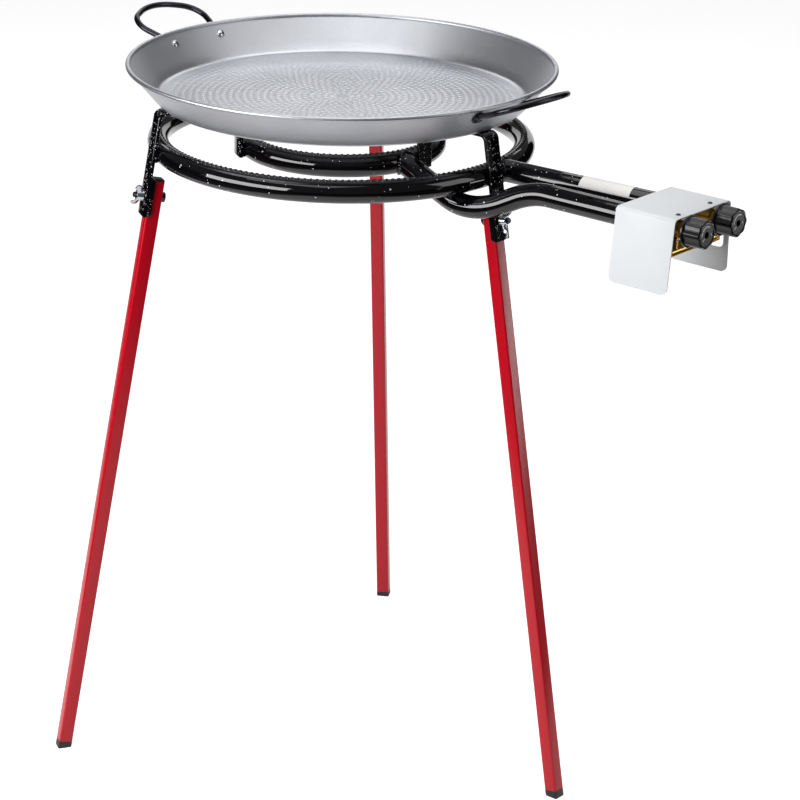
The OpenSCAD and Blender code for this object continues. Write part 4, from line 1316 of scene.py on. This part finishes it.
def white_stage(name, glow, near_gloss):
    """Paper with a painted pool of light that ends short of the camera: inside the pool its colour
    is painted paler and it glows in reflections. The camera sees white past it, and metal sees
    grey.
    """
    material, tree, place = new_finish(name)
    path = add(tree, "LightPath").outputs
    ahead = measured(tree, "DOT_PRODUCT", place, TO_CAMERA)
    aside = maths(tree, "ABSOLUTE", measured(tree, "DOT_PRODUCT", place, ACROSS))
    aside = maths(tree, "MULTIPLY_ADD", ahead, LIT_POOL_SPREAD, aside)
    # Painted pool of light: a wedge behind the object, fading out towards the camera and to the
    # sides
    lit_pool = times(
        tree, mapped(tree, ahead, 1.0, 0.0, LIT_POOL_FRONT, LIT_POOL_FRONT_END, "SMOOTHSTEP"),
        mapped(tree, aside, 1.0, 0.0, LIT_POOL_HALF, LIT_POOL_HALF_END, "SMOOTHSTEP"),
    )
    away = measured(tree, "LENGTH", place)
    # Painted reflection: glow for reflected rays only, dimmer near the object and brighter far from
    # it
    gloss_glow = mapped(tree, away, near_gloss, 1.0, GLOSS_NEAR, GLOSS_FAR)
    reflected = maths(tree, "MAXIMUM", path["Is Glossy Ray"], path["Is Transmission Ray"])
    shown = times(tree, reflected, gloss_glow, lit_pool)
    # Inside the painted pool of light the lamps make up the rest of the white, so its shadows show
    seen = mapped(tree, lit_pool, 1.0, glow)
    surfaced(tree, {
        # Painted shade: the colour is dark grey outside the lit pool and pale grey inside it
        "Base Color": blended(tree, lit_pool, linear("#3c3c3c"), linear("#d0d0d0")),
        "Roughness": 1.0,
        "Specular IOR Level": 0.0,
        "Emission Color": linear("#ffffff"),
        "Emission Strength": maths(tree, "MULTIPLY_ADD", path["Is Camera Ray"], seen, shown),
    })
    return material


def studio():
    """Paper floor with a painted pool of light, and a wall round the back of the object, as seen
    from the camera.
    """
    bm = bmesh.new()
    filled(bm, circle_loop(bm, FLOOR_R, sides=96))
    floor = as_object(bm, "floor")
    floor.data.materials.append(white_stage("paper_floor", 0.85, 0.5))
    bm = bmesh.new()
    start = about_z(VIEW_TURN) @ Vector((-BACKDROP_R, -BACKDROP_FRONT, 0))
    side = bm.edges.new([bm.verts.new(start), bm.verts.new(start + UP * BACKDROP_H)])
    spun_round(bm, [side], -math.pi, 64)
    wall = as_object(bm, "backdrop")
    wall.data.shade_smooth()
    wall.data.materials.append(white_stage("paper_backdrop", 1.0, 1.0))


def softbox(name, at, aim, size, power):
    """Area lamp whose place and aim are turned with the camera."""
    data = bpy.data.lights.new(name, "AREA")
    data.shape = "RECTANGLE"
    data.size, data.size_y = size
    data.energy = power
    lamp = in_scene(name, data)
    turn = about_z(VIEW_TURN)
    at, aim = turn @ Vector(at), turn @ Vector(aim)
    lamp.location = at
    lamp.rotation_euler = (aim - at).to_track_quat("-Z", "Y").to_euler()


def sky():
    """Dim, even studio that the camera sees as white."""
    world = bpy.data.worlds.new("studio")
    bpy.context.scene.world = world
    world.use_nodes = True
    tree = world.node_tree
    tree.nodes.clear()
    seen = add(tree, "LightPath").outputs["Is Camera Ray"]
    surround = add(
        tree, "Background",
        {"Color": linear("#ffffff"), "Strength": mapped(tree, seen, SKY_STRENGTH, 1.0)},
    )
    add(tree, "OutputWorld", {"Surface": surround.outputs["Background"]})


studio()
sky()
softbox("top_softbox", (0, 0, 2.35), (0, 0, 0.68), (2.6, 1.5), 23)
softbox("back_softbox", (0, 2.5, 2.35), (0, 0, 0.72), (2.4, 1.1), 14)
softbox("key_softbox", (-1.35, -0.95, 0.98), (0, 0, 0.68), (1.6, 0.7), 32)
softbox("fill_softbox", (2.6, -1.0, 1.6), (0, 0, 0.5), (1.2, 2.0), 16)
softbox("side_strip", (2.6, 0.05, 0.23), (0, 0, 0.5), (1.4, 0.26), 6.5)
